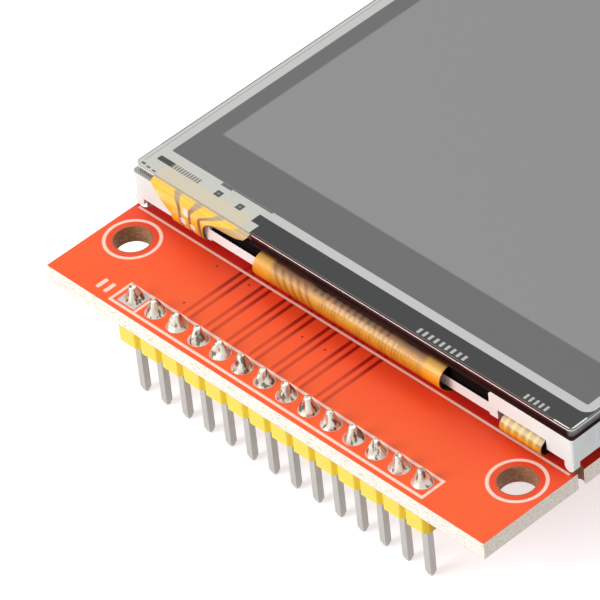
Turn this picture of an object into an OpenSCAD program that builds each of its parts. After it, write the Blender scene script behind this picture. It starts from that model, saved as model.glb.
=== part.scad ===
// Touch display module: a colour LCD with a resistive touch panel on a red circuit board.
// +X runs along the pin header, +Y from the header edge to the far edge, +Z out of the screen.
// The origin is the centre of the four mounting holes, on the underside of the board.

/* [Board] */
// Width of the board, side to side
board_w = 50; // [50:0.5:64]
// Length of the board, header edge to far edge
board_l = 86; // [85.5:0.5:110]
// Thickness of the board
board_t = 1.6; // [1:0.1:2.4]

/* [Mounting holes] */
// Diameter of the mounting holes
hole_d = 3.2; // [2.4:0.1:3.8]
// Side edge of the board to the hole centres
hole_side = 3; // [2.5:0.1:4]
// Header edge of the board to the first pair of holes
hole_front = 6.75; // [5.5:0.05:7.5]
// First pair of holes to the second pair
hole_pitch = 76; // [70:0.5:76.5]

/* [Pin header] */
// Number of header pins
pin_count = 14; // [6:1:16]
// Distance from one pin to the next
pin_pitch = 2.54; // [2:0.01:2.54]
// Side of the square pins
pin_side = 0.64; // [0.5:0.01:0.7]
// Length of the pins below the header body
pin_free = 5.8; // [4:0.1:12]
// Length of the pins above the board
pin_above = 1.25; // [0.8:0.05:2]
// Length of the taper at each end of a pin
pin_taper = 0.5; // [0.2:0.05:0.7]
// Header edge of the board to the row of pins
row_inset = 1.85; // [1.5:0.05:2.2]
// Height of the header body
header_h = 2.5; // [1.5:0.1:4]
// Depth of the header body, across the row
header_depth = 2.54; // [2:0.02:2.7]
// Bevel on the upright corners of each header segment
header_bevel = 0.4; // [0.2:0.05:0.6]
// Diameter of the drilled pin holes
drill_d = 1; // [0.98:0.01:1.2]
// Diameter of a solder joint at the board
solder_d = 1.8; // [1.4:0.1:2.2]
// Height of a solder joint
solder_h = 1.05; // [0.5:0.05:1.2]

/* [Far edge header] */
// Number of empty holes for the memory card header
card_pins = 4; // [2:1:8]

/* [Backlight frame] */
// Board left bare on each side of the display; negative where the display is the wider
lcd_side_gap = 0; // [-1:0.1:0.5]
// Length of the display
lcd_l = 69.2; // [66:0.2:72]
// Header edge of the board to the front of the display
lcd_front = 10; // [9.7:0.1:12]
// Thickness of the foam tape under the display
foam_t = 1.1; // [0.9:0.05:1.6]
// Width of the foam tape strips
foam_w = 4; // [2:0.5:8]
// Length of the foam tape strips
foam_l = 52; // [30:1:54]
// Radius of the upright corners of the frame
frame_corner = 0.3; // [0.1:0.05:0.6]
// Frame wall round the LCD glass
glass_wall = 1.2; // [0.9:0.1:1.5]
// Frame wall round the light guide
guide_wall = 1.8; // [1.6:0.1:2.2]
// Thickness of the frame wall along the front
front_wall = 1; // [0.7:0.1:1.2]
// Thickness of the shelf that carries the LCD glass
shelf_t = 0.2; // [0.15:0.05:0.4]
// Reach of that shelf over the light guide
shelf_reach = 0.7; // [0.4:0.1:1]
// Height that the frame stands above the LCD stack
frame_lip = 0.25; // [0.15:0.05:0.5]
// Width of the full-height corner blocks along the front
block_w = 9.1; // [8.2:0.1:10]
// Bevel at the top inner corner of each block
block_bevel = 0.3; // [0.1:0.05:0.6]
// Height of the step under the front rail
rail_step = 0.2; // [0.1:0.05:0.4]
// Width of the arch that the backlight ribbon leaves by
arch_w = 5.3; // [5:0.1:5.8]
// Thickness of the frame between the arch and the side
arch_side = 2.9; // [2.4:0.1:3.2]
// Width of a locating peg, along the front
peg_w = 1; // [0.6:0.1:1.2]
// Depth of a locating peg, along the side
peg_depth = 0.7; // [0.5:0.1:1]
// Gap from the board to the end of a peg
peg_gap = 0.2; // [0.1:0.05:0.5]
// Diameter of the board notches at the pegs
notch_d = 1.2; // [1.1:0.1:1.7]

/* [Backlight] */
// Thickness of the reflector sheet
reflector_t = 0.1; // [0.05:0.01:0.15]
// Thickness of the light guide
guide_t = 0.6; // [0.5:0.05:1]
// Thickness of the diffuser and of each prism sheet
sheet_t = 0.1; // [0.05:0.01:0.15]
// Number of light-emitting diodes
led_count = 4; // [2:1:6]
// Length of one diode
led_l = 3.8; // [2:0.1:5]
// Depth of one diode
led_depth = 1.1; // [0.8:0.1:1.3]
// Front of the display to the light guide
guide_inset = 2.6; // [2.5:0.1:3]
// Width of the backlight ribbon
tail_w = 4.5; // [3:0.1:4.7]
// Outer radius of the backlight ribbon's bend
tail_bend = 0.8; // [0.6:0.05:0.85]

/* [LCD glass] */
// Thickness of each sheet of LCD glass
lcd_glass_t = 0.4; // [0.3:0.05:0.7]
// Thickness of the polarizers
polarizer_t = 0.14; // [0.1:0.01:0.2]
// Width of the ledge that carries the driver chip
ledge_w = 2.2; // [2:0.1:3]
// Length of the driver chip
chip_l = 17; // [12:0.5:22]
// Width of the driver chip
chip_w = 0.8; // [0.6:0.05:0.9]
// Height of the driver chip
chip_h = 0.3; // [0.2:0.05:0.4]

/* [Main ribbon] */
// Width of the main ribbon
ribbon_w = 21.2; // [16:0.2:24]
// Offset of the main ribbon from the centre line
ribbon_x = 0.8; // [-1:0.1:1.5]
// Thickness of the ribbons
ribbon_t = 0.1; // [0.06:0.01:0.14]
// Outer radius of the main ribbon's bend
ribbon_bend = 1.15; // [1:0.05:1.25]

/* [Touch panel] */
// Inset of the touch panel from the edge of the frame
touch_inset = 0.22; // [0.1:0.02:0.5]
// Thickness of the tape between the frame and the touch panel
bond_t = 0.1; // [0.05:0.01:0.2]
// Width of that tape
bond_w = 1.5; // [1:0.1:2]
// Thickness of the touch glass
touch_glass_t = 0.55; // [0.4:0.05:1.1]
// Thickness of the spacer between the touch glass and the film
spacer_t = 0.12; // [0.1:0.01:0.2]
// Width of that spacer along the sides and the far edge
spacer_w = 2; // [1.5:0.1:2.4]
// Thickness of the touch film
film_t = 0.18; // [0.1:0.01:0.3]
// Width of the touch ribbon where it is bonded
bond_zone_w = 11.3; // [10:0.1:12]
// Width of the touch ribbon where it leaves under the frame
touch_strip_w = 3.7; // [3:0.1:4.5]

/* [Card socket] */
// Depth of the memory card socket, along the card
card_depth = 28; // [27:0.5:30]
// Width of the socket, across the card
card_w = 27.2; // [26.6:0.2:28.4]
// Height of the socket
card_h = 2.8; // [2.6:0.1:3.4]
// Far edge of the board to the socket
card_rear = 15; // [8:0.5:24]
// Thickness of the socket's sheet metal
shell_t = 0.2; // [0.15:0.05:0.3]
// Width of the slot for the card
slot_w = 24.2; // [24:0.1:24.6]

/* [Touch controller] */
// Length of the touch controller chip
controller_l = 5; // [4.8:0.1:6]
// Width of the touch controller chip
controller_w = 4.4; // [4:0.1:5]
// Height of the touch controller chip
controller_h = 1; // [0.8:0.05:1.4]

/* [Hidden] */
$fn = 48;
nudge = 0.01; // overshoot of cuts through a face
fit = 0.1; // play between a sheet and its pocket
turn_steps = 20; // straight steps in one bend of a ribbon

// Plan
board_x0 = -board_w / 2;
board_y0 = -hole_pitch / 2 - hole_front;
board_y1 = board_y0 + board_l;
hole_x = board_w / 2 - hole_side;
lcd_w = board_w - 2 * lcd_side_gap;
row_y = board_y0 + row_inset;
card_row_y = board_y1 - row_inset;
lcd_y0 = board_y0 + lcd_front;
lcd_y1 = lcd_y0 + lcd_l;
lcd_yc = (lcd_y0 + lcd_y1) / 2;

// Heights above the underside of the board
frame_z0 = board_t + foam_t;
guide_z = frame_z0 + reflector_t;
sheets_z = guide_z + guide_t;
shelf_z0 = sheets_z + 3 * sheet_t + fit / 2;
shelf_z1 = shelf_z0 + shelf_t;
rim_t = 0.06;
tft_z = shelf_z1 + rim_t;
filter_z = tft_z + lcd_glass_t;
front_pol_z = filter_z + lcd_glass_t;
frame_z1 = front_pol_z + polarizer_t + frame_lip;
touch_z = frame_z1 + bond_t;
spacer_z = touch_z + touch_glass_t;
film_z = spacer_z + spacer_t;

// LCD pocket of the frame, and what lies in it
glass_w = lcd_w - 2 * (glass_wall + fit);
glass_y0 = lcd_y0 + front_wall + fit;
glass_y1 = lcd_y1 - glass_wall - fit;
filter_y0 = glass_y0 + ledge_w;
window_w = lcd_w - 2 * (guide_wall + shelf_reach);
window_y0 = lcd_y0 + guide_inset + 1.8;
window_y1 = lcd_y1 - guide_wall - shelf_reach;

// Light guide pocket of the frame
guide_w = lcd_w - 2 * (guide_wall + fit);
guide_y0 = lcd_y0 + guide_inset;
guide_y1 = lcd_y1 - guide_wall - fit;
led_h = guide_t + fit / 2;
led_y = guide_y0 - fit - led_depth;
led_z1 = guide_z + led_h;
strip_y1 = guide_y0 + 0.8;
sheets_y0 = strip_y1 + fit;

// Arch and backlight ribbon
block_x = lcd_w / 2 - block_w;
arch_x1 = lcd_w / 2 - arch_side;
arch_x0 = arch_x1 - arch_w;
tail_x1 = arch_x1 - fit;
tail_x0 = tail_x1 - tail_w;
arch_z1 = led_z1 + ribbon_t + fit;

// Touch panel and touch ribbon
touch_w = lcd_w - 2 * touch_inset;
touch_y0 = lcd_y0 + touch_inset;
touch_y1 = lcd_y1 - touch_inset;
touch_corner = 0.5;
bond_zone_x0 = -lcd_w / 2 + 2.6;
bond_zone_x1 = bond_zone_x0 + bond_zone_w;
strip_x0 = bond_zone_x0 + 2.3;
strip_x1 = strip_x0 + touch_strip_w;
bond_zone_l = 1.7;
touch_tuck = 6; // front of the display to the end of the touch ribbon

// Card socket
card_x1 = board_x0 + card_depth;
card_y1 = board_y1 - card_rear;
card_yc = card_y1 - card_w / 2;
card_body_l = 5;
card_end = 0.5; // body short of the shell, front and back
card_rail_end = 1; // rails and floor short of the shell at the back
card_floor_l = 5; // floor ahead of the rear block
thumb_d = 12;
tongue = [10, 3];
tongue_slit = [9, 2];
tongue_x = 12; // back of the shell to the middle of a tongue
shell_foot = [1.8, 1.2];
foot_inset = 3;
card_floor_t = 0.5;
card_contacts = 9;
card_pitch = 2.5;
contact_w = 0.9;
contact_t = 0.2;

// Small parts under the board: x, and distance from the header edge
controller_at = [-13, 20];
regulator_at = [15, 14];
transistor_at = [15, 21];
resistor_at = [[-14, 8], [-10.5, 8], [-7, 8], [-3.5, 8], [0, 8], [3.5, 8], [7, 8]];
capacitor_at = [[-19, 20], [-13, 26], [10, 14], [20, 14], [10, 18]];
chip_part = [1.6, 0.8, 0.45];
chip_end = 0.3;
dimple_at = 0.7; // corner of a package to its pin 1 dimple
dimple_d = 0.5;
dimple_depth = 0.09;
lead_t = 0.12;
stand_off = 0.1; // board to the underside of a package
controller_pitch = 0.65;
sot_body = [2.9, 1.3, 0.95];

function pin_x(i) = (i - (pin_count - 1) / 2) * pin_pitch;
function card_pin_x(i) = (i - (card_pins - 1) / 2) * pin_pitch;
function pin_node(i) = str("header_pin_", i < 9 ? "0" : "", i + 1);

// ---- Shapes that several parts share ----

// A plate from its lowest corner to its highest
module block(low, high) {
    translate(low) cube(high - low);
}

// A flat plate with round upright corners
module round_plate(x0, x1, y0, y1, z0, z1, r) {
    block([x0 + r, y0, z0], [x1 - r, y1, z1]);
    block([x0, y0 + r, z0], [x1, y1 - r, z1]);
    for (x = [x0 + r, x1 - r], y = [y0 + r, y1 - r])
        translate([x, y, z0]) cylinder(r = r, h = z1 - z0);
}

// Points of an arc about [y, z], angles in degrees
function arc(c, r, a0, a1, steps = turn_steps) =
    [for (i = [0:steps]) let (a = a0 + (a1 - a0) * i / steps) c + r * [cos(a), sin(a)]];

// Points of a smooth bend from p0 to p3 that heads for p1 first and arrives from p2
function bend(p0, p1, p2, p3, steps = turn_steps) =
    [for (i = [0:steps]) let (t = i / steps, s = 1 - t)
        s * s * s * p0 + 3 * s * s * t * p1 + 3 * s * t * t * p2 + t * t * t * p3];

function unit(v) = v / norm(v);
function side(p, i) =
    let (a = p[max(i - 1, 0)], b = p[min(i + 1, len(p) - 1)], d = unit(b - a)) [-d.y, d.x];

// Outline of a strip of thickness t whose middle follows the points p
function strip_outline(p, t) = concat(
    [for (i = [0:len(p) - 1]) p[i] + side(p, i) * t / 2],
    [for (i = [len(p) - 1:-1:0]) p[i] - side(p, i) * t / 2]);

// A bent strip: the route is drawn in Y and Z, the width lies along X from x0 to x1
module bent_strip(p, t, x0, x1) {
    translate([x0, 0, 0]) rotate([90, 0, 90])
        linear_extrude(x1 - x0) polygon(strip_outline(p, t));
}

// The same strip with its route in X and Z and its width along Y
module bent_strip_y(p, t, y0, y1) {
    translate([0, y1, 0]) rotate([90, 0, 0])
        linear_extrude(y1 - y0) polygon(strip_outline(p, t));
}

// ---- Board and pin header ----

module pcb() {
    color("orangered") difference() {
        block([board_x0, board_y0, 0], [-board_x0, board_y1, board_t]);
        for (x = [-hole_x, hole_x], y = [-hole_pitch / 2, hole_pitch / 2])
            board_hole(x, y, hole_d);
        for (i = [0:pin_count - 1]) board_hole(pin_x(i), row_y, drill_d);
        for (i = [0:card_pins - 1]) board_hole(card_pin_x(i), card_row_y, drill_d);
        for (s = [-1, 1], y = [lcd_y0 + peg_depth, lcd_y1 - peg_depth])
            board_hole(s * (lcd_w - peg_w) / 2, y, notch_d);
    }
}

module board_hole(x, y, d) {
    translate([x, y, -nudge]) cylinder(d = d, h = board_t + 2 * nudge);
}

// One segment per pin, bevelled at its upright corners so that the strip can be snapped
module header_body() {
    p = pin_pitch / 2;
    d = header_depth / 2;
    b = header_bevel;
    color("gold") translate([0, row_y, -header_h]) difference() {
        linear_extrude(header_h)
            for (i = [0:pin_count - 1]) translate([pin_x(i), 0])
                polygon([[-p, b - d], [b - p, -d], [p - b, -d], [p, b - d],
                         [p, d - b], [p - b, d], [b - p, d], [-p, d - b]]);
        for (i = [0:pin_count - 1])
            translate([pin_x(i) - pin_side / 2, -pin_side / 2, -nudge])
                cube([pin_side, pin_side, header_h + 2 * nudge]);
    }
}

// A square pin, tapered on all four sides at both ends
module header_pin(i) {
    color("silver") translate([pin_x(i), row_y, 0]) intersection() {
        rotate([90, 0, 0]) linear_extrude(pin_side, center = true) pin_profile();
        rotate([90, 0, 90]) linear_extrude(pin_side, center = true) pin_profile();
    }
}

module pin_profile() {
    z0 = -header_h - pin_free;
    z1 = board_t + pin_above;
    s = pin_side / 2;
    tip = pin_side / 4;
    polygon([[-tip, z0], [tip, z0], [s, z0 + pin_taper], [s, z1 - pin_taper],
             [tip, z1], [-tip, z1], [-s, z1 - pin_taper], [-s, z0 + pin_taper]]);
}

// Hollow-sided cones of solder; the first pin's joint stands on a square pad
module solder_joints() {
    foot = solder_d / 2;
    neck = pin_side * 0.6;
    pad_t = 0.1;
    color("gainsboro") for (i = [0:pin_count - 1])
        translate([pin_x(i), row_y, board_t]) difference() {
            union() {
                rotate_extrude() polygon(concat([[0, 0], [foot, 0]],
                    [for (k = [0:8]) let (a = 90 * k / 8)
                        [foot - (foot - neck) * sin(a), pad_t + (solder_h - pad_t) * (1 - cos(a))]],
                    [[0, solder_h]]));
                if (i == 0) translate([-foot, -foot, 0]) cube([solder_d, solder_d, pad_t]);
            }
            translate([-pin_side / 2, -pin_side / 2, -nudge])
                cube([pin_side, pin_side, solder_h + 2 * nudge]);
        }
}

// ---- Backlight frame ----

module foam_tape(s) {
    x = s * (lcd_w / 2 - guide_wall - foam_w / 2);
    color("dimgray") block([x - foam_w / 2, lcd_yc - foam_l / 2, board_t],
                           [x + foam_w / 2, lcd_yc + foam_l / 2, frame_z0]);
}

// Moulded tray: light guide pocket below, LCD pocket above, and a shelf between them
module lcd_frame() {
    hw = lcd_w / 2;
    color("ghostwhite") {
        difference() {
            round_plate(-hw, hw, lcd_y0, lcd_y1, frame_z0, frame_z1, frame_corner);
            guide_pocket();
            lcd_pocket();
            front_cuts();
        }
        for (s = [-1, 1], far = [0, 1]) frame_peg(s, far);
    }
}

module guide_pocket() {
    x = guide_w / 2 + fit;
    block([-x, lcd_y0 + front_wall, frame_z0 - nudge], [x, guide_y1 + fit, shelf_z0]);
}

module lcd_pocket() {
    x = glass_w / 2 + fit;
    block([-window_w / 2, window_y0, shelf_z0 - nudge],
          [window_w / 2, window_y1, shelf_z1 + nudge]);
    block([-x, lcd_y0 + front_wall, shelf_z1], [x, glass_y1 + fit, frame_z1 + nudge]);
}

// Low rail between the two blocks, the step under it, and the arch for the backlight ribbon
module front_cuts() {
    y0 = lcd_y0 - nudge;
    y1 = lcd_y0 + front_wall + nudge;
    top = frame_z1 + nudge;
    translate([0, y1, 0]) rotate([90, 0, 0]) linear_extrude(y1 - y0) polygon([
        [-block_x, shelf_z1], [block_x, shelf_z1], [block_x, frame_z1 - block_bevel],
        [block_x + block_bevel, top], [-block_x - block_bevel, top],
        [-block_x, frame_z1 - block_bevel]]);
    block([-block_x, y0, frame_z0 - nudge], [block_x, y1, frame_z0 + rail_step]);
    block([arch_x0, y0, frame_z0 - nudge], [arch_x1, y1, arch_z1]);
}

// Peg under a corner of the frame, round at its lower end
module frame_peg(s, far) {
    r = peg_w / 2;
    y = far ? lcd_y1 - peg_depth : lcd_y0;
    x = s * (lcd_w / 2 - r);
    z = board_t + peg_gap + r;
    block([x - r, y, z], [x + r, y + peg_depth, frame_z0 + nudge]);
    translate([x, y + peg_depth, z]) rotate([90, 0, 0]) cylinder(r = r, h = peg_depth);
}

// ---- Backlight ----

module reflector_sheet() {
    x = guide_w / 2;
    color("white") block([-x, lcd_y0 + front_wall + fit, frame_z0], [x, guide_y1, guide_z]);
}

// Clear plate with a shallow recess in its front edge at each diode
module light_guide() {
    x = guide_w / 2;
    color("azure") difference() {
        block([-x, guide_y0, guide_z], [x, guide_y1, sheets_z]);
        for (i = [0:led_count - 1]) translate([led_x(i), guide_y0, guide_z - nudge])
            cylinder(d = led_l * 0.4, h = guide_t + 2 * nudge);
    }
}

function led_x(i) = (i - (led_count - 1) / 2) * guide_w / (led_count + 1);

// One sheet of the stack over the light guide, counted from below
module guide_sheet(level, tint) {
    x = guide_w / 2;
    z = sheets_z + level * sheet_t;
    color(tint) block([-x, sheets_y0, z], [x, guide_y1, z + sheet_t]);
}

module backlight_leds() {
    color("lemonchiffon") for (i = [0:led_count - 1]) difference() {
        block([led_x(i) - led_l / 2, led_y, guide_z], [led_x(i) + led_l / 2, led_y + led_depth, led_z1]);
        // the window that the light leaves by
        block([led_x(i) - led_l * 0.35, led_y + led_depth - 0.25, guide_z + led_h * 0.25],
              [led_x(i) + led_l * 0.35, led_y + led_depth + nudge, led_z1 - led_h * 0.25]);
    }
}

// Strip over the diodes, and the tail that leaves by the arch and folds under the frame
module backlight_ribbon() {
    z = led_z1 + ribbon_t / 2;
    r = tail_bend - ribbon_t / 2;
    c = [lcd_y0 + 0.2, z - r];
    low = c.y - r;
    rest = board_t + ribbon_t / 2;
    route = concat([[strip_y1, z]], arc(c, r, 90, 270),
        bend([lcd_y0 + 2, low], [lcd_y0 + 2.8, low], [lcd_y0 + 2.7, rest], [lcd_y0 + 3.5, rest]),
        [[lcd_y0 + 5.5, rest]]);
    color("goldenrod") {
        bent_strip(route, ribbon_t, tail_x0, tail_x1);
        block([-guide_w / 2, lcd_y0 + front_wall + fit, led_z1],
              [tail_x1, strip_y1, led_z1 + ribbon_t]);
    }
}

// ---- LCD ----

// Under the rim of the TFT glass, and forward over the front rail
module rim_tape() {
    x = glass_w / 2;
    color("black") {
        difference() {
            block([-x, glass_y0, shelf_z1], [x, glass_y1, tft_z]);
            block([-window_w / 2, window_y0, shelf_z1 - nudge],
                  [window_w / 2, window_y1, tft_z + nudge]);
        }
        block([fit - block_x, lcd_y0, shelf_z1], [block_x - fit, glass_y0 + nudge, tft_z]);
    }
}

module rear_polarizer() {
    x = window_w / 2 - fit;
    color("dimgray") block([-x, window_y0 + fit, tft_z - polarizer_t], [x, window_y1 - fit, tft_z]);
}

module tft_glass() {
    x = glass_w / 2;
    color("lightcyan") block([-x, glass_y0, tft_z], [x, glass_y1, filter_z]);
}

module color_filter_glass() {
    x = glass_w / 2;
    color("lightcyan") block([-x, filter_y0, filter_z], [x, glass_y1, front_pol_z]);
}

module front_polarizer() {
    x = glass_w / 2 - 3 * fit;
    color("dimgray") block([-x, filter_y0 + 3 * fit, front_pol_z],
                           [x, glass_y1 - 3 * fit, front_pol_z + polarizer_t]);
}

module driver_chip() {
    y1 = filter_y0 - fit;
    color("slategray") block([ribbon_x - chip_l / 2, y1 - chip_w, filter_z],
                             [ribbon_x + chip_l / 2, y1, filter_z + chip_h]);
}

// Bonded to the ledge of the TFT glass, over the front rail, down and under the frame
module main_ribbon() {
    t = ribbon_t;
    r = ribbon_bend - t / 2;
    on_ledge = filter_z + t / 2;
    on_board = board_t + t / 2;
    c = [lcd_y0 + 0.12, frame_z1 - bond_t - t - r - fit / 2];
    top = c.y + r;
    turn_end = c + r * [cos(215), sin(215)];
    route = concat([[glass_y0 + 0.9, on_ledge]],
        bend([glass_y0 + 0.2, on_ledge], [glass_y0 - 0.2, on_ledge],
             [lcd_y0 + 0.6, top], [c.x + 0.05, top]),
        arc(c, r, 90, 215),
        bend(turn_end + 0.1 * [-sin(215), cos(215)], turn_end + 0.9 * [-sin(215), cos(215)],
             [lcd_y0 + 0.6, board_t + 0.35], [lcd_y0 + 1.6, board_t + 0.35]),
        bend([lcd_y0 + 2.4, board_t + 0.3], [lcd_y0 + 3, board_t + 0.25],
             [lcd_y0 + 3.2, on_board], [lcd_y0 + 4, on_board]),
        [[lcd_y0 + 7, on_board]]);
    color("darkorange") bent_strip(route, t, ribbon_x - ribbon_w / 2, ribbon_x + ribbon_w / 2);
}

// Black tape over the ledge, with a flap down to the rail on each side of the main ribbon
module light_shield_tape() {
    z = frame_z1 - bond_t;
    y0 = lcd_y0 + 0.2;
    ribbon_gap = 0.15;
    color("black") {
        block([-block_x + fit, y0, z], [block_x - fit, filter_y0 - fit, frame_z1]);
        for (edge = [[-block_x + fit, ribbon_x - ribbon_w / 2 - ribbon_gap],
                     [ribbon_x + ribbon_w / 2 + ribbon_gap, block_x - fit]])
            block([edge[0], y0, tft_z], [edge[1], y0 + bond_t, z + nudge]);
    }
}

// ---- Touch panel ----

module touch_ring(z0, z1, w_side, w_front) {
    x = touch_w / 2;
    difference() {
        round_plate(-x, x, touch_y0, touch_y1, z0, z1, touch_corner);
        block([w_side - x, touch_y0 + w_front, z0 - nudge], [x - w_side, touch_y1 - w_side, z1 + nudge]);
    }
}

// Out to the sides of the frame, so that it covers the top of its rim
module touch_bond_tape() {
    x = touch_w / 2 - bond_w;
    color("black") difference() {
        round_plate(-lcd_w / 2, lcd_w / 2, lcd_y0, lcd_y1, frame_z1, touch_z, frame_corner);
        block([-x, touch_y0 + bond_w, frame_z1 - nudge], [x, touch_y1 - bond_w, touch_z + nudge]);
    }
}

module touch_glass() {
    x = touch_w / 2;
    color("honeydew") round_plate(-x, x, touch_y0, touch_y1, touch_z, spacer_z, touch_corner);
}

// Left out where the touch ribbon lies between the glass and the film
module touch_spacer() {
    color("whitesmoke") difference() {
        touch_ring(spacer_z, film_z, spacer_w, 2 * spacer_w);
        block([bond_zone_x0 - fit, touch_y0 - nudge, spacer_z - nudge],
              [bond_zone_x1 + fit, touch_y0 + bond_zone_l + fit, film_z + nudge]);
    }
}

module touch_film() {
    x = touch_w / 2;
    color("gray") round_plate(-x, x, touch_y0, touch_y1, film_z, film_z + film_t, touch_corner);
}

// Leaves the front edge at full width, narrows to a strip and tucks under the frame
module touch_ribbon() {
    z = spacer_z + ribbon_t / 2;
    low = frame_z0 - ribbon_t - fit;
    on_board = board_t + ribbon_t / 2;
    mid = [lcd_y0 - 0.45, (frame_z0 + frame_z1) / 2 + 0.3];
    route = concat([[touch_y0 + bond_zone_l, z]],
        bend([touch_y0 - 0.05, z], [lcd_y0 - 0.3, z], [mid.x - 0.05, z - 0.5], mid),
        bend(mid - [-0.005, 0.1], [mid.x + 0.05, frame_z0 + 0.3], [lcd_y0 - 0.25, low], [lcd_y0 + 0.35, low]),
        bend([lcd_y0 + 2, low], [lcd_y0 + 3, low], [lcd_y0 + 3, on_board], [lcd_y0 + 4, on_board]),
        [[lcd_y0 + touch_tuck, on_board]]);
    color("orange") intersection() {
        bent_strip(route, ribbon_t, bond_zone_x0, bond_zone_x1);
        touch_ribbon_front();
    }
}

// Outline of the touch ribbon as seen from the front: slanted on the left, round on the right
module touch_ribbon_front() {
    shoulder = spacer_z - 0.25;
    waist = frame_z0 + 0.7;
    r = shoulder - waist - 0.5;
    translate([0, lcd_y0 + touch_tuck + 2, 0]) rotate([90, 0, 0])
        linear_extrude(touch_tuck + 4) polygon(concat(
        [[bond_zone_x0 - 1, film_z], [bond_zone_x0 - 1, shoulder + 0.1], [bond_zone_x0, shoulder + 0.1],
         [strip_x0, waist + 0.2], [strip_x0, 0], [strip_x1, 0]],
        arc([strip_x1 + r, waist], r, 180, 100, 12),
        [[bond_zone_x1 - 1.2, shoulder - 0.35], [bond_zone_x1 - 0.3, shoulder - 0.1],
         [bond_zone_x1, shoulder + 0.2], [bond_zone_x1 + 1, film_z]]));
}

// ---- Memory card socket under the board ----

// Folded sheet: cover with two spring tongues, side walls, solder feet and a thumb cut
module card_socket_shell() {
    hw = card_w / 2;
    x0 = board_x0;
    z0 = -card_h;
    foot = [shell_foot.x, shell_foot.y, shell_t];
    color("silver") translate([0, card_yc, 0]) {
        difference() {
            block([x0, -hw, z0], [card_x1, hw, 0]);
            block([x0 - nudge, shell_t - hw, z0 + shell_t], [card_x1 + nudge, hw - shell_t, nudge]);
            translate([x0, 0, z0 - nudge]) cylinder(d = thumb_d, h = shell_t + 2 * nudge);
            for (s = [-1, 1]) translate([card_x1 - tongue_x, s * card_w / 4, z0 - nudge])
                tongue_cut(shell_t + 2 * nudge);
        }
        for (x = [x0 + foot_inset, card_x1 - foot_inset - foot.x], s = [-1, 1])
            translate([x, s * (hw + foot.y / 2) - foot.y / 2, -foot.z]) cube(foot);
    }
}

// Slit on three sides of a spring tongue, which stays joined at -X
module tongue_cut(h) {
    difference() {
        translate([-tongue.x / 2, -tongue.y / 2, 0]) cube([tongue.x, tongue.y, h]);
        translate([-tongue.x / 2 - nudge, -tongue_slit.y / 2, 0]) cube([tongue_slit.x, tongue_slit.y, h]);
    }
}

// Moulded body: a rear block with the contact roots, a rail on each side and a thin floor
module card_socket_body() {
    hw = card_w / 2 - shell_t;
    rail = hw - slot_w / 2;
    z0 = shell_t - card_h;
    color("dimgray") translate([0, card_yc, 0]) difference() {
        union() {
            block([card_x1 - card_body_l, -hw, z0], [card_x1 - card_end, hw, 0]);
            for (s = [-1, 1]) translate([0, s * (hw - rail / 2), 0])
                block([board_x0 + card_end, -rail / 2, z0], [card_x1 - card_rail_end, rail / 2, 0]);
            block([card_x1 - card_body_l - card_floor_l, -hw, -card_floor_t],
                  [card_x1 - card_rail_end, hw, 0]);
        }
        card_contact_strips();
    }
}

module card_socket_contacts() {
    color("gold") translate([0, card_yc, 0]) card_contact_strips();
}

// Spring contacts: foot on the board, root through the body, bump in the slot
module card_contact_strips() {
    x = card_x1;
    foot_z = -contact_t / 2;
    root_z = -card_floor_t - contact_t / 2;
    bump_z = -card_h / 2;
    route = concat([[x + 1.4, foot_z], [x + 0.8, foot_z]],
        bend([x + 0.6, foot_z], [x + 0.3, foot_z], [x + 0.3, root_z], [x, root_z], 6),
        [[x - card_body_l - 4, root_z]],
        bend([x - card_body_l - 5.5, root_z - 0.2], [x - card_body_l - 6.5, bump_z],
             [x - card_body_l - 7.2, bump_z - 0.3], [x - card_body_l - 8, bump_z + 0.3], 8));
    for (i = [0:card_contacts - 1])
        translate([0, (i - (card_contacts - 1) / 2) * card_pitch, 0])
            bent_strip_y(route, contact_t, -contact_w / 2, contact_w / 2);
}

// ---- Small parts under the board ----

function under(at) = [at.x, board_y0 + at.y, 0];

// Moulded package with sloping sides, its lower face up against the board
module package(size) {
    slope = size.z * 0.12;
    difference() {
        intersection() {
            package_side(size.x, size.z, slope, size.y);
            rotate(90) package_side(size.y, size.z, slope, size.x);
        }
        translate([dimple_at - size.x / 2, dimple_at - size.y / 2, -size.z - nudge])
            cylinder(d = dimple_d, h = dimple_depth + nudge);
    }
}

module package_side(w, h, slope, depth) {
    mid = -(h + stand_off) / 2;
    rotate([90, 0, 0]) linear_extrude(depth, center = true) polygon([
        [slope - w / 2, -stand_off], [w / 2 - slope, -stand_off], [w / 2, mid],
        [w / 2 - slope, -h], [slope - w / 2, -h], [-w / 2, mid]]);
}

// A gull-wing lead that leaves the package at x = 0 and stands on the board
module lead(body_h, w, reach) {
    mid = -(body_h + stand_off) / 2;
    foot = -lead_t / 2;
    route = [[0, mid], [reach * 0.25, mid], [reach * 0.45, foot], [reach, foot]];
    bent_strip_y(route, lead_t, -w / 2, w / 2);
}

module touch_controller() {
    color("black") translate(under(controller_at))
        package([controller_l, controller_w, controller_h]);
}

module touch_controller_leads() {
    color("silver") translate(under(controller_at))
        for (s = [90, -90], i = [-3.5:1:3.5])
            rotate(s) translate([controller_w / 2, i * controller_pitch, 0]) lead(controller_h, 0.24, 1);
}

module sot_leads(at) {
    color("silver") translate(under(at)) {
        for (x = [-0.95, 0.95]) translate([x, -sot_body.y / 2, 0]) rotate(-90) lead(sot_body.z, 0.4, 0.6);
        translate([0, sot_body.y / 2, 0]) rotate(90) lead(sot_body.z, 0.4, 0.6);
    }
}

module sot_package(at) {
    color("black") translate(under(at)) package(sot_body);
}

module chip_bodies(places, tint) {
    l = chip_part.x - 2 * chip_end;
    color(tint) for (at = places) translate(under(at) - [l / 2, chip_part.y / 2, chip_part.z])
        cube([l, chip_part.y, chip_part.z]);
}

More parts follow.
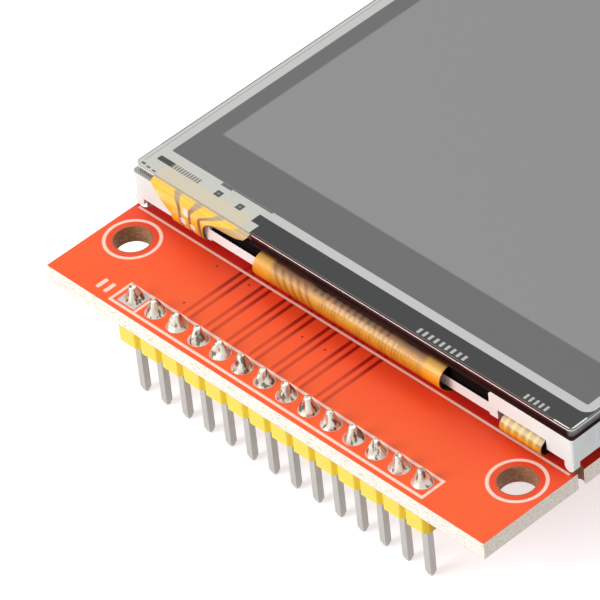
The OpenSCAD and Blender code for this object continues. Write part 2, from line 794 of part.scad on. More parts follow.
module chip_terminals() {
    color("silver") for (at = concat(resistor_at, capacitor_at), s = [-1, 1])
        translate(under(at) + [s * (chip_part.x - chip_end) / 2 - chip_end / 2, -chip_part.y / 2, -chip_part.z])
            cube([chip_end, chip_part.y, chip_part.z]);
}

// ---- Assembly ----

pcb();
header_body();
for (i = [0:pin_count - 1]) header_pin(i);
solder_joints();
foam_tape(-1);  // foam_tape_left
foam_tape(1);  // foam_tape_right
lcd_frame();
reflector_sheet();
light_guide();
guide_sheet(0, "white");  // diffuser_sheet
guide_sheet(1, "lightgray");  // lower_prism_sheet
guide_sheet(2, "lightgray");  // upper_prism_sheet
backlight_leds();
backlight_ribbon();
rim_tape();
rear_polarizer();
tft_glass();
color_filter_glass();
front_polarizer();
driver_chip();
main_ribbon();
light_shield_tape();
touch_bond_tape();
touch_glass();
touch_spacer();
touch_film();
touch_ribbon();
card_socket_shell();
card_socket_body();
card_socket_contacts();
touch_controller();
touch_controller_leads();
sot_package(regulator_at);  // regulator
sot_leads(regulator_at);  // regulator_leads
sot_package(transistor_at);  // backlight_transistor
sot_leads(transistor_at);  // transistor_leads
chip_bodies(resistor_at, "black");  // chip_resistors
chip_bodies(capacitor_at, "tan");  // chip_capacitors
chip_terminals();
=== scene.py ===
"""Looks of a touch display module: red board, pin header, ribbons, moulded frame and touch panel."""

import logging
import math
from collections.abc import Callable, Sequence
from dataclasses import dataclass, field
from enum import Enum

import bmesh
import bpy
import numpy as np
from mathutils import Matrix, Vector

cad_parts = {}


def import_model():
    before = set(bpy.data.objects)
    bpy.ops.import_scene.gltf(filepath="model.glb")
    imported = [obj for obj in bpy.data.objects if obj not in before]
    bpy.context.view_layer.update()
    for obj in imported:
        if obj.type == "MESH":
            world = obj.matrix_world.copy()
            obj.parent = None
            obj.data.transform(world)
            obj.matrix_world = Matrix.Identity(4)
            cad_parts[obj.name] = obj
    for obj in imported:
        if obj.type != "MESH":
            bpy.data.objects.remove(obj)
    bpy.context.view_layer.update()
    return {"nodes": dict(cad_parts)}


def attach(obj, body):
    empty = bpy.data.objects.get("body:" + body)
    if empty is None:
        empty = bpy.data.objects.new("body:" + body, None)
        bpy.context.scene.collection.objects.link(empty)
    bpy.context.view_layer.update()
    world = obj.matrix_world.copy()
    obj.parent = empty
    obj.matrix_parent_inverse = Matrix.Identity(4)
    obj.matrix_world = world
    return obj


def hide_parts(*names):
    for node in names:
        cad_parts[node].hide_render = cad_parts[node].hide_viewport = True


MM = 0.001
BODY = "root"
Socket = bpy.types.NodeSocket
Value = float | Socket

log = logging.getLogger("display_module")


# ---- Colours ----


class Hue(Enum):
    """Colours of the module's materials, written as sRGB."""

    MASK = "#FA5F29"
    MASK_DEEP = "#F04526"
    MASK_TRACE = "#9C1408"
    MASK_SHADE = "#C01418"
    LEGEND = "#FFDACA"
    FIBRE = "#FFF7EC"
    FIBRE_DARK = "#C8AC8C"
    HOLE_WALL = "#94603A"
    VIA = "#7A1408"
    HEADER = "#FAE158"
    HEADER_DEEP = "#F0CC10"
    TIN = "#CAC8C4"
    TIN_DARK = "#9A968F"
    SOLDER = "#DAD8CC"
    SOLDER_DARK = "#5C4A3A"
    FRAME = "#F4FBFA"
    FRAME_DEEP = "#E8ECEA"
    FILM_ACTIVE = "#8A8A8A"
    FILM_GREY = "#666666"
    FILM_BAND = "#333534"
    FILM_RING = "#C6C5C3"
    FILM_SILVER = "#C8C8C0"
    FILM_MARK = "#2C2F30"
    PANEL_EDGE = "#32171A"
    PANEL_EDGE_GREEN = "#ACAFA4"
    PANEL_EDGE_GREY = "#86888A"
    AMBER = "#EEA614"
    AMBER_DEEP = "#DC8A08"
    AMBER_HIGHLIGHT = "#E6B23E"
    PALE_BOND_AND_HIGHLIGHT = "#D9CBB0"
    BLACK = "#040404"
    CHARCOAL = "#2B2B2D"
    GREY_FOAM = "#4A4A4C"
    STEEL = "#B9B9B6"
    GOLD = "#D9B25A"
    SILICON = "#4A4E57"
    CLEAR = "#DDE6E6"
    GLASS_GREEN = "#B9C9C0"
    PHOSPHOR = "#EFE39A"
    WHITE = "#F5F5F3"
    TAN = "#A98763"
    FILM_BOND = "#D6C9AE"
    FILM_LINE = "#8E8D88"
    BOND_BROWN = "#3A2118"
    BROWN_TRACK_AND_SHADE = "#7A3C12"
    GOLD_TRACK = "#FFC42C"
    CLEAR_AMBER = "#B98E3C"
    PANEL_SHADOW_BROWN = "#5E4234"
    HIGHLIGHT_TAN = "#B88A50"
    AMBER_DULL = "#D89A1C"
    AMBER_LOW = "#B56A10"
    GOLD_HIGHLIGHT = "#FFE27A"
    GAP_BROWN = "#86684A"
    DARK_SHADE_AND_TRACE = "#2E1B10"
    SOOT = "#0A0807"

    @property
    def linear(self) -> tuple[float, float, float, float]:
        """The colour in linear light, with an alpha of 1."""
        raw = [int(self.value[i : i + 2], 16) / 255 for i in (1, 3, 5)]
        return (*[c / 12.92 if c <= 0.04045 else ((c + 0.055) / 1.055) ** 2.4 for c in raw], 1.0)


Colour = Hue | Socket


class Op(Enum):
    """The sums that a material's graph may hold."""

    ADD = "ADD"
    SUB = "SUBTRACT"
    MUL = "MULTIPLY"
    DIV = "DIVIDE"
    MAX = "MAXIMUM"
    MIN = "MINIMUM"
    ABS = "ABSOLUTE"
    SQRT = "SQRT"
    ROUND = "ROUND"


# ---- Node graphs ----


@dataclass
class Graph:
    """Writes nodes into one node tree."""

    tree: bpy.types.NodeTree

    def add(self, kind: str, **props: object) -> bpy.types.Node:
        """Adds a node.

        Args:
            kind: Blender's name of the node type.
            props: Properties to set on it.

        Returns:
            The new node.
        """
        node = self.tree.nodes.new(kind)
        for name, value in props.items():
            setattr(node, name, value)
        return node

    def feed(self, socket: Socket, value: Value | Colour) -> None:
        """Links a socket into another, or sets its own value.

        Args:
            socket: The input that is fed.
            value: An output socket, a number, or one of the named colours.
        """
        if isinstance(value, bpy.types.NodeSocket):
            self.tree.links.new(value, socket)
        else:
            socket.default_value = value.linear if isinstance(value, Hue) else value

    def math(self, op: Op, a: Value, b: Value = 0.0) -> Socket:
        """Does one sum.

        Args:
            op: Which sum.
            a: First number.
            b: Second number, where the sum has one.

        Returns:
            The result's socket.
        """
        node = self.add("ShaderNodeMath", operation=op.value)
        self.feed(node.inputs[0], a)
        self.feed(node.inputs[1], b)
        return node.outputs[0]

    def step(self, x: Value, low: float, high: float) -> Socket:
        """Goes smoothly from 0 at low to 1 at high; with low above high it falls instead.

        Args:
            x: The number that is read.
            low: Where the result is 0.
            high: Where the result is 1.

        Returns:
            The result's socket.
        """
        node = self.add("ShaderNodeMapRange", interpolation_type="SMOOTHSTEP")
        self.feed(node.inputs["Value"], x)
        turned = low > high
        node.inputs["From Min"].default_value = high if turned else low
        node.inputs["From Max"].default_value = low if turned else high
        node.inputs["To Min"].default_value = 1.0 if turned else 0.0
        node.inputs["To Max"].default_value = 0.0 if turned else 1.0
        return node.outputs["Result"]

    def mix(self, share: Value, a: Colour, b: Colour) -> Socket:
        """Blends two colours.

        Args:
            share: 0 for the first colour, 1 for the second.
            a: First colour.
            b: Second colour.

        Returns:
            The blended colour's socket.
        """
        node = self.add("ShaderNodeMix", data_type="RGBA")
        self.feed(node.inputs[0], share)
        self.feed(node.inputs[6], a)
        self.feed(node.inputs[7], b)
        return node.outputs[2]

    def ramp(self, x: Value, *stops: tuple[float, Hue]) -> Socket:
        """Runs through colours as a number grows.

        Args:
            x: The number that is read.
            stops: Pairs of place and colour, in the number's own units, lowest first.

        Returns:
            The colour's socket.
        """
        low, high = stops[0][0], stops[-1][0]
        span = self.add("ShaderNodeMapRange")
        self.feed(span.inputs["Value"], x)
        span.inputs["From Min"].default_value = low
        span.inputs["From Max"].default_value = high
        node = self.add("ShaderNodeValToRGB")
        self.feed(node.inputs[0], span.outputs["Result"])
        points = node.color_ramp.elements
        for _ in stops[2:]:
            points.new(0.5)
        for point, (at, hue) in zip(points, stops):
            point.position = (at - low) / (high - low)
            point.color = hue.linear
        return node.outputs[0]

    def paint(self, base: Colour, layers: Sequence[tuple[Value, Colour]]) -> Socket:
        """Lays colours over a base, one after the other.

        Args:
            base: The colour below.
            layers: Pairs of mask and colour, lowest first.

        Returns:
            The painted colour's socket.
        """
        out = base
        for mask, colour in layers:
            out = self.mix(mask, out, colour)
        return out

    def any_of(self, masks: Sequence[Value]) -> Socket:
        """The greatest of some masks.

        Args:
            masks: The masks, at least one.

        Returns:
            The joined mask's socket.
        """
        out = masks[0]
        for mask in masks[1:]:
            out = self.math(Op.MAX, out, mask)
        return out

    def both(self, a: Value, b: Value) -> Socket:
        """Where both masks hold."""
        return self.math(Op.MUL, a, b)

    def within(self, x: Value, start: float, full: float, past: float, end: float) -> Socket:
        """A smooth window on x: 0 up to start, 1 from full to past, 0 from end on."""
        return self.both(self.step(x, start, full), self.step(x, end, past))

    def length(self, a: Value, b: Value) -> Socket:
        """The length of two offsets at right angles: the root of the sum of their squares."""
        return self.math(Op.SQRT, self.math(Op.ADD, self.math(Op.MUL, a, a), self.math(Op.MUL, b, b)))

    def drawn(self, parts: Sequence[Socket], scales: Sequence[float], scale: float, detail: float) -> Socket:
        """Noise that is drawn out along some axes: each coordinate is first scaled by itself.

        Args:
            parts: X, Y and Z.
            scales: A scale for each of them, small along the axis of the streaks.
            scale: The noise's own scale.
            detail: The noise's detail.

        Returns:
            The noise's socket.
        """
        stretch = self.add("ShaderNodeCombineXYZ")
        for socket, part, share in zip(stretch.inputs, parts, scales):
            self.feed(socket, self.math(Op.MUL, part, share))
        noise = self.add("ShaderNodeTexNoise")
        self.feed(noise.inputs["Vector"], stretch.outputs[0])
        noise.inputs["Scale"].default_value = scale
        noise.inputs["Detail"].default_value = detail
        return noise.outputs["Fac"]

    def background_rays(self) -> Socket:
        """1 for rays of the camera, of reflections and through glass, which see the background.

        Returns:
            The mask's socket.
        """
        path = self.add("ShaderNodeLightPath")
        rays = ("Is Camera Ray", "Is Glossy Ray", "Is Transmission Ray")
        return self.any_of([path.outputs[name] for name in rays])

    def place(self, group: bpy.types.NodeTree, **values: Value) -> bpy.types.Node:
        """Places a node group.

        Args:
            group: The group's tree.
            values: Its inputs, with _ for a space.

        Returns:
            The group's node.
        """
        node = self.add("ShaderNodeGroup", node_tree=group)
        for name, value in values.items():
            self.feed(node.inputs[name.replace("_", " ")], value)
        return node

    def object_mm(self) -> Socket:
        """The object's own coordinates in millimetres.

        Returns:
            The vector's socket.
        """
        source = self.add("ShaderNodeTexCoord").outputs["Object"]
        scaled = self.add("ShaderNodeVectorMath", operation="SCALE")
        self.feed(scaled.inputs[0], source)
        scaled.inputs["Scale"].default_value = 1 / MM
        return scaled.outputs[0]

    def split(self, vector: Socket) -> tuple[Socket, Socket, Socket]:
        """The three parts of a vector.

        Args:
            vector: The vector's socket.

        Returns:
            The sockets of X, Y and Z.
        """
        node = self.add("ShaderNodeSeparateXYZ")
        self.feed(node.inputs[0], vector)
        return node.outputs[0], node.outputs[1], node.outputs[2]


@dataclass
class Effects:
    """Effects that several materials share, each a node group that is built once."""

    built: dict[str, bpy.types.NodeTree] = field(default_factory=dict)
    ring_soft: float = 0.04

    def make(
        self,
        name: str,
        inputs: Sequence[tuple[str, str, float]],
        outputs: Sequence[str],
        fill: Callable[[Graph, bpy.types.Node], Sequence[Socket]],
    ) -> bpy.types.NodeTree:
        """Builds a group, or gives it again.

        Args:
            name: The group's name.
            inputs: Name, socket type and default of each input.
            outputs: Names of the outputs, all numbers.
            fill: Writes the inside and returns one socket for each output.

        Returns:
            The group's tree.
        """
        if name in self.built:
            return self.built[name]
        tree = bpy.data.node_groups.new(name, "ShaderNodeTree")
        for label, kind, default in inputs:
            item = tree.interface.new_socket(name=label, in_out="INPUT", socket_type=kind)
            if kind == "NodeSocketFloat":
                item.default_value = default
        for label in outputs:
            tree.interface.new_socket(name=label, in_out="OUTPUT", socket_type="NodeSocketFloat")
        graph = Graph(tree)
        start = graph.add("NodeGroupInput")
        end = graph.add("NodeGroupOutput")
        for socket, result in zip(end.inputs, fill(graph, start)):
            graph.feed(socket, result)
        self.built[name] = tree
        return tree

    def box(self) -> bpy.types.NodeTree:
        """A rectangle with round corners, for print and painted highlights: 1 inside, 0 outside.

        The distance to its edge is the length of the part of the offset outside the inner
        rectangle, less the corner radius.

        Returns:
            The group's tree.
        """

        def fill(g: Graph, i: bpy.types.Node) -> list[Socket]:
            """Distance to the edge, then a smooth step over it.

            Args:
                g: The group's graph.
                i: The node that holds its inputs.

            Returns:
                The mask's socket.
            """
            x, y, _ = g.split(i.outputs["Point"])
            corner = i.outputs["Corner"]
            out = []
            for p, c, h in ((x, "Centre X", "Half X"), (y, "Centre Y", "Half Y")):
                off = g.math(Op.ABS, g.math(Op.SUB, p, i.outputs[c]))
                out.append(g.math(Op.SUB, off, g.math(Op.SUB, i.outputs[h], corner)))
            px, py = (g.math(Op.MAX, d, 0.0) for d in out)
            far = g.length(px, py)
            near = g.math(Op.MIN, g.math(Op.MAX, out[0], out[1]), 0.0)
            edge = g.math(Op.SUB, g.math(Op.ADD, far, near), corner)
            return [g.step(g.math(Op.DIV, edge, i.outputs["Soft"]), 1.0, -1.0)]

        numbers = ("Centre X", "Centre Y", "Half X", "Half Y", "Corner", "Soft")
        inputs = [("Point", "NodeSocketVector", 0.0)]
        inputs += [(n, "NodeSocketFloat", 0.03 if n == "Soft" else 0.0) for n in numbers]
        return self.make("Box mask", inputs, ["Mask"], fill)

    def ring(self) -> bpy.types.NodeTree:
        """A ring, for print and painted shade: 1 where the distance to its centre is within half a width of
        its radius.

        Returns:
            The group's tree.
        """

        def fill(g: Graph, i: bpy.types.Node) -> list[Socket]:
            """Distance to the centre less the radius, then a smooth step over it.

            Args:
                g: The group's graph.
                i: The node that holds its inputs.

            Returns:
                The mask's socket.
            """
            x, y, _ = g.split(i.outputs["Point"])
            dx = g.math(Op.SUB, x, i.outputs["Centre X"])
            dy = g.math(Op.SUB, y, i.outputs["Centre Y"])
            off = g.math(Op.ABS, g.math(Op.SUB, g.length(dx, dy), i.outputs["Radius"]))
            edge = g.math(Op.SUB, off, i.outputs["Half Width"])
            return [g.step(edge, self.ring_soft, -self.ring_soft)]

        numbers = ("Centre X", "Centre Y", "Radius", "Half Width")
        inputs = [("Point", "NodeSocketVector", 0.0)] + [(n, "NodeSocketFloat", 0.0) for n in numbers]
        return self.make("Ring mask", inputs, ["Mask"], fill)

    def bars(self) -> bpy.types.NodeTree:
        """A row of equal bars: 1 where the distance to the nearest bar is under its half width.

        Returns:
            The group's tree.
        """

        def fill(g: Graph, i: bpy.types.Node) -> list[Socket]:
            """Distance to the nearest bar's middle, then a smooth step over it.

            Args:
                g: The group's graph.
                i: The node that holds its inputs.

            Returns:
                The mask's socket.
            """
            along = g.math(Op.SUB, i.outputs["Along"], i.outputs["Start"])
            count = g.math(Op.ROUND, g.math(Op.DIV, along, i.outputs["Pitch"]))
            last = g.math(Op.SUB, i.outputs["Count"], 1.0)
            index = g.math(Op.MIN, g.math(Op.MAX, count, 0.0), last)
            off = g.math(Op.ABS, g.math(Op.SUB, along, g.math(Op.MUL, index, i.outputs["Pitch"])))
            edge = g.math(Op.SUB, off, i.outputs["Half Width"])
            return [g.step(g.math(Op.DIV, edge, i.outputs["Soft"]), 1.0, -1.0)]

        defaults = {"Along": 0.0, "Start": 0.0, "Pitch": 1.0, "Count": 1.0, "Half Width": 0.1, "Soft": 0.04}
        inputs = [(n, "NodeSocketFloat", d) for n, d in defaults.items()]
        return self.make("Bar row mask", inputs, ["Mask"], fill)

    def grain(self) -> bpy.types.NodeTree:
        """Uneven finish: a slow cloud for colour, a fine noise for the surface.

        Returns:
            The group's tree.
        """

        def fill(g: Graph, i: bpy.types.Node) -> list[Socket]:
            """Two noises, the slow one with more contrast.

            Args:
                g: The group's graph.
                i: The node that holds its inputs.

            Returns:
                The sockets of the cloud and the fine noise.
            """
            out = []
            for scale, detail in (("Cloud Scale", 3.0), ("Fine Scale", 5.0)):
                noise = g.add("ShaderNodeTexNoise")
                g.feed(noise.inputs["Vector"], i.outputs["Point"])
                g.feed(noise.inputs["Scale"], i.outputs[scale])
                noise.inputs["Detail"].default_value = detail
                out.append(noise.outputs["Fac"])
            return [g.step(out[0], 0.3, 0.7), out[1]]

        inputs = [("Point", "NodeSocketVector", 0.0), ("Cloud Scale", "NodeSocketFloat", 0.2)]
        inputs += [("Fine Scale", "NodeSocketFloat", 8.0)]
        return self.make("Uneven finish", inputs, ["Cloud", "Fine"], fill)


EFFECTS = Effects()


@dataclass(frozen=True)
class Gloss:
    """How a finish takes the light: numbers that are the same all over it."""

    metallic: float = 0.0
    rough_low: float = 0.4
    rough_high: float = 0.5
    specular: float = 0.5
    coat: float = 0.0
    coat_rough: float = 0.1
    bump: float = 0.1
    bump_mm: float = 0.02


@dataclass
class Finish:
    """One procedural material, from its first node to its last."""

    name: str
    gloss: Gloss

    def __post_init__(self) -> None:
        """Starts the material with an empty tree."""
        self.material = bpy.data.materials.new(self.name)
        self.material.use_nodes = True
        self.material.node_tree.nodes.clear()
        self.g = Graph(self.material.node_tree)
        self.point = self.g.object_mm()
        self.x, self.y, self.z = self.g.split(self.point)

    def box(
        self,
        x0: float,
        x1: float,
        y0: float,
        y1: float,
        corner: float = 0.0,
        soft: float = 0.03,
        point: Socket | None = None,
    ) -> Socket:
        """A rectangle between two corners, for print and painted highlights.

        Args:
            x0: Least X.
            x1: Greatest X.
            y0: Least Y.
            y1: Greatest Y.
            corner: Radius of its corners.
            soft: Half the width of its blurred edge.
            point: The place that is read; the object's own coordinates if not given.

        Returns:
            The mask's socket.
        """
        node = self.g.place(
            EFFECTS.box(),
            Point=self.point if point is None else point,
            Centre_X=(x0 + x1) / 2,
            Centre_Y=(y0 + y1) / 2,
            Half_X=(x1 - x0) / 2,
            Half_Y=(y1 - y0) / 2,
            Corner=corner,
            Soft=soft,
        )
        return node.outputs[0]

    def outline(
        self, x0: float, x1: float, y0: float, y1: float, width: float, corner: float = 0.0
    ) -> Socket:
        """The printed outline of a rectangle, inside its corners.

        Args:
            x0: Least X.
            x1: Greatest X.
            y0: Least Y.
            y1: Greatest Y.
            width: Width of the line.
            corner: Radius of its outer corners.

        Returns:
            The mask's socket.
        """
        w = width
        outer = self.box(x0, x1, y0, y1, corner)
        inner = self.box(x0 + w, x1 - w, y0 + w, y1 - w, max(corner - w, 0.0))
        return self.g.math(Op.MAX, self.g.math(Op.SUB, outer, inner), 0.0)

    def ring(self, x: float, y: float, radius: float, width: float) -> Socket:
        """A ring, for print and painted shade; radius is that of its middle, width that of its line."""
        values = {"Centre_X": x, "Centre_Y": y, "Radius": radius, "Half_Width": width / 2}
        return self.g.place(EFFECTS.ring(), Point=self.point, **values).outputs[0]

    def bars(
        self, along: Socket, start: float, pitch: float, count: int, width: float, soft: float = 0.04
    ) -> Socket:
        """A row of bars, for print, painted shade and painted sheen.

        Args:
            along: The coordinate that the row follows.
            start: Middle of the first bar.
            pitch: From one bar to the next.
            count: Number of bars.
            width: Width of one bar.
            soft: Half the width of the blurred edge.

        Returns:
            The mask's socket.
        """
        values = {"Start": start, "Pitch": pitch, "Count": float(count)}
        values |= {"Half_Width": width / 2, "Soft": soft}
        return self.g.place(EFFECTS.bars(), Along=along, **values).outputs[0]

    def grain(self, cloud: float = 0.2, fine: float = 8.0) -> tuple[Socket, Socket]:
        """The shared uneven finish: its slow cloud and its fine noise, scales per millimetre."""
        node = self.g.place(EFFECTS.grain(), Point=self.point, Cloud_Scale=cloud, Fine_Scale=fine)
        return node.outputs[0], node.outputs[1]

    def close(self, colour: Colour, height: Socket, rough: Socket | None = None) -> bpy.types.Material:
        """Adds the shader and ends the material.

        Args:
            colour: Colour of the surface.
            height: Relief of the surface, 0 to 1.
            rough: Where the surface is the rougher, 0 to 1; the relief if not given.

        Returns:
            The finished material.
        """
        g, s = self.g, self.gloss
        shader = g.add("ShaderNodeBsdfPrincipled")
        g.feed(shader.inputs["Base Color"], colour)
        spread = g.add("ShaderNodeMapRange")
        g.feed(spread.inputs["Value"], height if rough is None else rough)
        spread.inputs["To Min"].default_value = s.rough_low
        spread.inputs["To Max"].default_value = s.rough_high
        g.feed(shader.inputs["Roughness"], spread.outputs["Result"])
        for name, number in (
            ("Metallic", s.metallic),
            ("Specular IOR Level", s.specular),
            ("Coat Weight", s.coat),
            ("Coat Roughness", s.coat_rough),
        ):
            shader.inputs[name].default_value = number
        bump = g.add("ShaderNodeBump")
        bump.inputs["Strength"].default_value = s.bump
        bump.inputs["Distance"].default_value = s.bump_mm * MM
        g.feed(bump.inputs["Height"], height)
        g.feed(shader.inputs["Normal"], bump.outputs["Normal"])
        out = g.add("ShaderNodeOutputMaterial")
        g.feed(out.inputs["Surface"], shader.outputs[0])
        return self.material


def plain_finish(
    name: str, gloss: Gloss, light: Hue, deep: Hue, cloud: float = 0.2, fine: float = 8.0
) -> bpy.types.Material:
    """A finish of two close colours in slow clouds, with a fine relief.

    Args:
        name: Name of the material.
        gloss: How it takes the light.
        light: The lighter colour.
        deep: The deeper colour.
        cloud: Scale of the clouds, per millimetre.
        fine: Scale of the relief, per millimetre.

    Returns:
        The finished material.
    """
    finish = Finish(name, gloss)
    patch, relief = finish.grain(cloud, fine)
    return finish.close(finish.g.mix(patch, light, deep), relief)


# ---- Meshes ----


def grid_faces(rows: int, columns: int, closed: bool) -> np.ndarray:
    """Quads of a grid of points, row by row.

    Args:
        rows: Number of rows.
        columns: Number of points in a row.
        closed: Whether the last column joins the first.

    Returns:
        An array of faces by four corners.
    """
    r = np.arange(rows - 1)[:, None]
    c = np.arange(columns if closed else columns - 1)[None, :]
    d = (c + 1) % columns
    quads = np.stack([r * columns + c, r * columns + d, (r + 1) * columns + d, (r + 1) * columns + c], -1)
    return quads.reshape(-1, 4)


def mesh_from(
    name: str, points: np.ndarray, faces: np.ndarray, uv: np.ndarray | None = None
) -> bpy.types.Object:
    """Makes an object of quads, in millimetres, with its faces as they are given.

    Args:
        name: Name of the piece.
        points: Corners, in millimetres.
        faces: Four corner numbers for each face.
        uv: A place for each corner, or None.

    Returns:
        The new object.
    """
    mesh = bpy.data.meshes.new(name)
    mesh.vertices.add(len(points))
    mesh.vertices.foreach_set("co", (np.asarray(points) * MM).astype(np.float32).ravel())
    mesh.loops.add(faces.size)
    mesh.loops.foreach_set("vertex_index", faces.astype(np.int32).ravel())
    mesh.polygons.add(len(faces))
    mesh.polygons.foreach_set("loop_start", np.arange(0, faces.size, 4, dtype=np.int32))
    mesh.update(calc_edges=True)
    if uv is not None:
        layer = mesh.uv_layers.new(name="route")
        layer.data.foreach_set("uv", uv[faces.ravel()].astype(np.float32).ravel())
    mesh.validate()
    piece = bpy.data.objects.new(name, mesh)
    bpy.context.scene.collection.objects.link(piece)
    mesh.polygons.foreach_set("use_smooth", np.ones(len(mesh.polygons), bool))
    mesh.set_sharp_from_angle(angle=math.radians(40))
    return piece


def volume_of(points: np.ndarray, faces: np.ndarray) -> float:
    """Signed volume of a closed shell of quads: the sum of the pyramids over its triangles.

    Args:
        points: Corners.
        faces: Four corner numbers for each face.

    Returns:
        The volume, above 0 where the faces point outwards.
    """
    a, b, c, d = (points[faces[:, k]] for k in range(4))
    cones = np.einsum("ij,ij->i", a, np.cross(b, c)) + np.einsum("ij,ij->i", a, np.cross(c, d))
    return float(cones.sum() / 6)


def arc(centre: Sequence[float], radius: float, start: float, end: float, steps: int = 40) -> np.ndarray:
    """Points of a circle's arc, by Y and Z, about a centre, angles in degrees."""
    a = np.radians(np.linspace(start, end, steps + 1))[:, None]
    return np.asarray(centre) + radius * np.concatenate([np.cos(a), np.sin(a)], 1)


def bend(
    p0: Sequence[float], p1: Sequence[float], p2: Sequence[float], p3: Sequence[float], steps: int = 30
) -> np.ndarray:
    """Points of a cubic curve: each control point weighted by its Bernstein term.

    Args:
        p0: Start.
        p1: Where it heads for first.
        p2: Where it arrives from.
        p3: End.
        steps: Number of steps.

    Returns:
        Points by Y and Z.
    """
    t = np.linspace(0, 1, steps + 1)[:, None]
    s = 1 - t
    q = [np.asarray(p, float) for p in (p0, p1, p2, p3)]
    return s**3 * q[0] + 3 * s**2 * t * q[1] + 3 * s * t**2 * q[2] + t**3 * q[3]


def strip_piece(
    name: str, route: np.ndarray, left: np.ndarray, right: np.ndarray, thickness: float, across: int = 24
) -> bpy.types.Object:
    """A thin strip: its section is carried along a route in Y and Z, its width lies along X.

    Each section has a row of points above the route and a row below, half a thickness away along
    the route's normal; the two rows are joined at the sides and at both ends.

    Args:
        name: Name of the piece.
        route: Middle of the strip, Y and Z, in millimetres.
        left: Least X at each point of the route.
        right: Greatest X at each point of the route.
        thickness: Thickness of the strip.
        across: Points across its width.

    Returns:
        The new object, with X and the distance along the route as its map, in tenths of a metre.
    """
    keep = np.concatenate([[True], np.linalg.norm(np.diff(route, axis=0), axis=1) > 1e-4])
    route, left, right = route[keep], left[keep], right[keep]
    tangent = np.gradient(route, axis=0)
    tangent /= np.linalg.norm(tangent, axis=1, keepdims=True)
    normal = np.stack([-tangent[:, 1], tangent[:, 0]], 1)
    length = np.concatenate([[0], np.cumsum(np.linalg.norm(np.diff(route, axis=0), axis=1))])
    share = np.linspace(0, 1, across)
    x = left[:, None] + (right - left)[:, None] * share[None, :]
    rows = len(route)

    def side(sign: float) -> np.ndarray:
        """The points above or below the route.

        Args:
            sign: 1 for above, -1 for below.

        Returns:
            Points by route, width and axis.
        """
        yz = route + sign * normal * thickness / 2
        flat = np.broadcast_to(yz[:, None, :], (rows, across, 2))
        return np.concatenate([x[..., None], flat], -1)

    points = np.concatenate([side(1.0), side(-1.0)[:, ::-1]], 1)
    columns = 2 * across
    faces = grid_faces(rows, columns, True)
    k = np.arange(across - 1)
    cap = np.stack([k, k + 1, columns - 2 - k, columns - 1 - k], 1)
    faces = np.concatenate([faces, cap[:, ::-1], cap + (rows - 1) * columns])
    flat = points.reshape(-1, 3)
    if volume_of(flat, faces) < 0:
        faces = faces[:, ::-1]
    span = np.broadcast_to(length[:, None], (rows, columns))
    uv = np.stack([points[..., 0].ravel(), span.ravel()], 1) / 100
    piece = mesh_from(name, flat, np.ascontiguousarray(faces), uv)
    inner = np.broadcast_to((np.arange(columns) < across)[None, :], (rows, columns))
    mark = piece.data.attributes.new("inner", "FLOAT", "POINT")
    mark.data.foreach_set("value", inner.ravel().astype(np.float32))
    return piece


# ---- The board ----


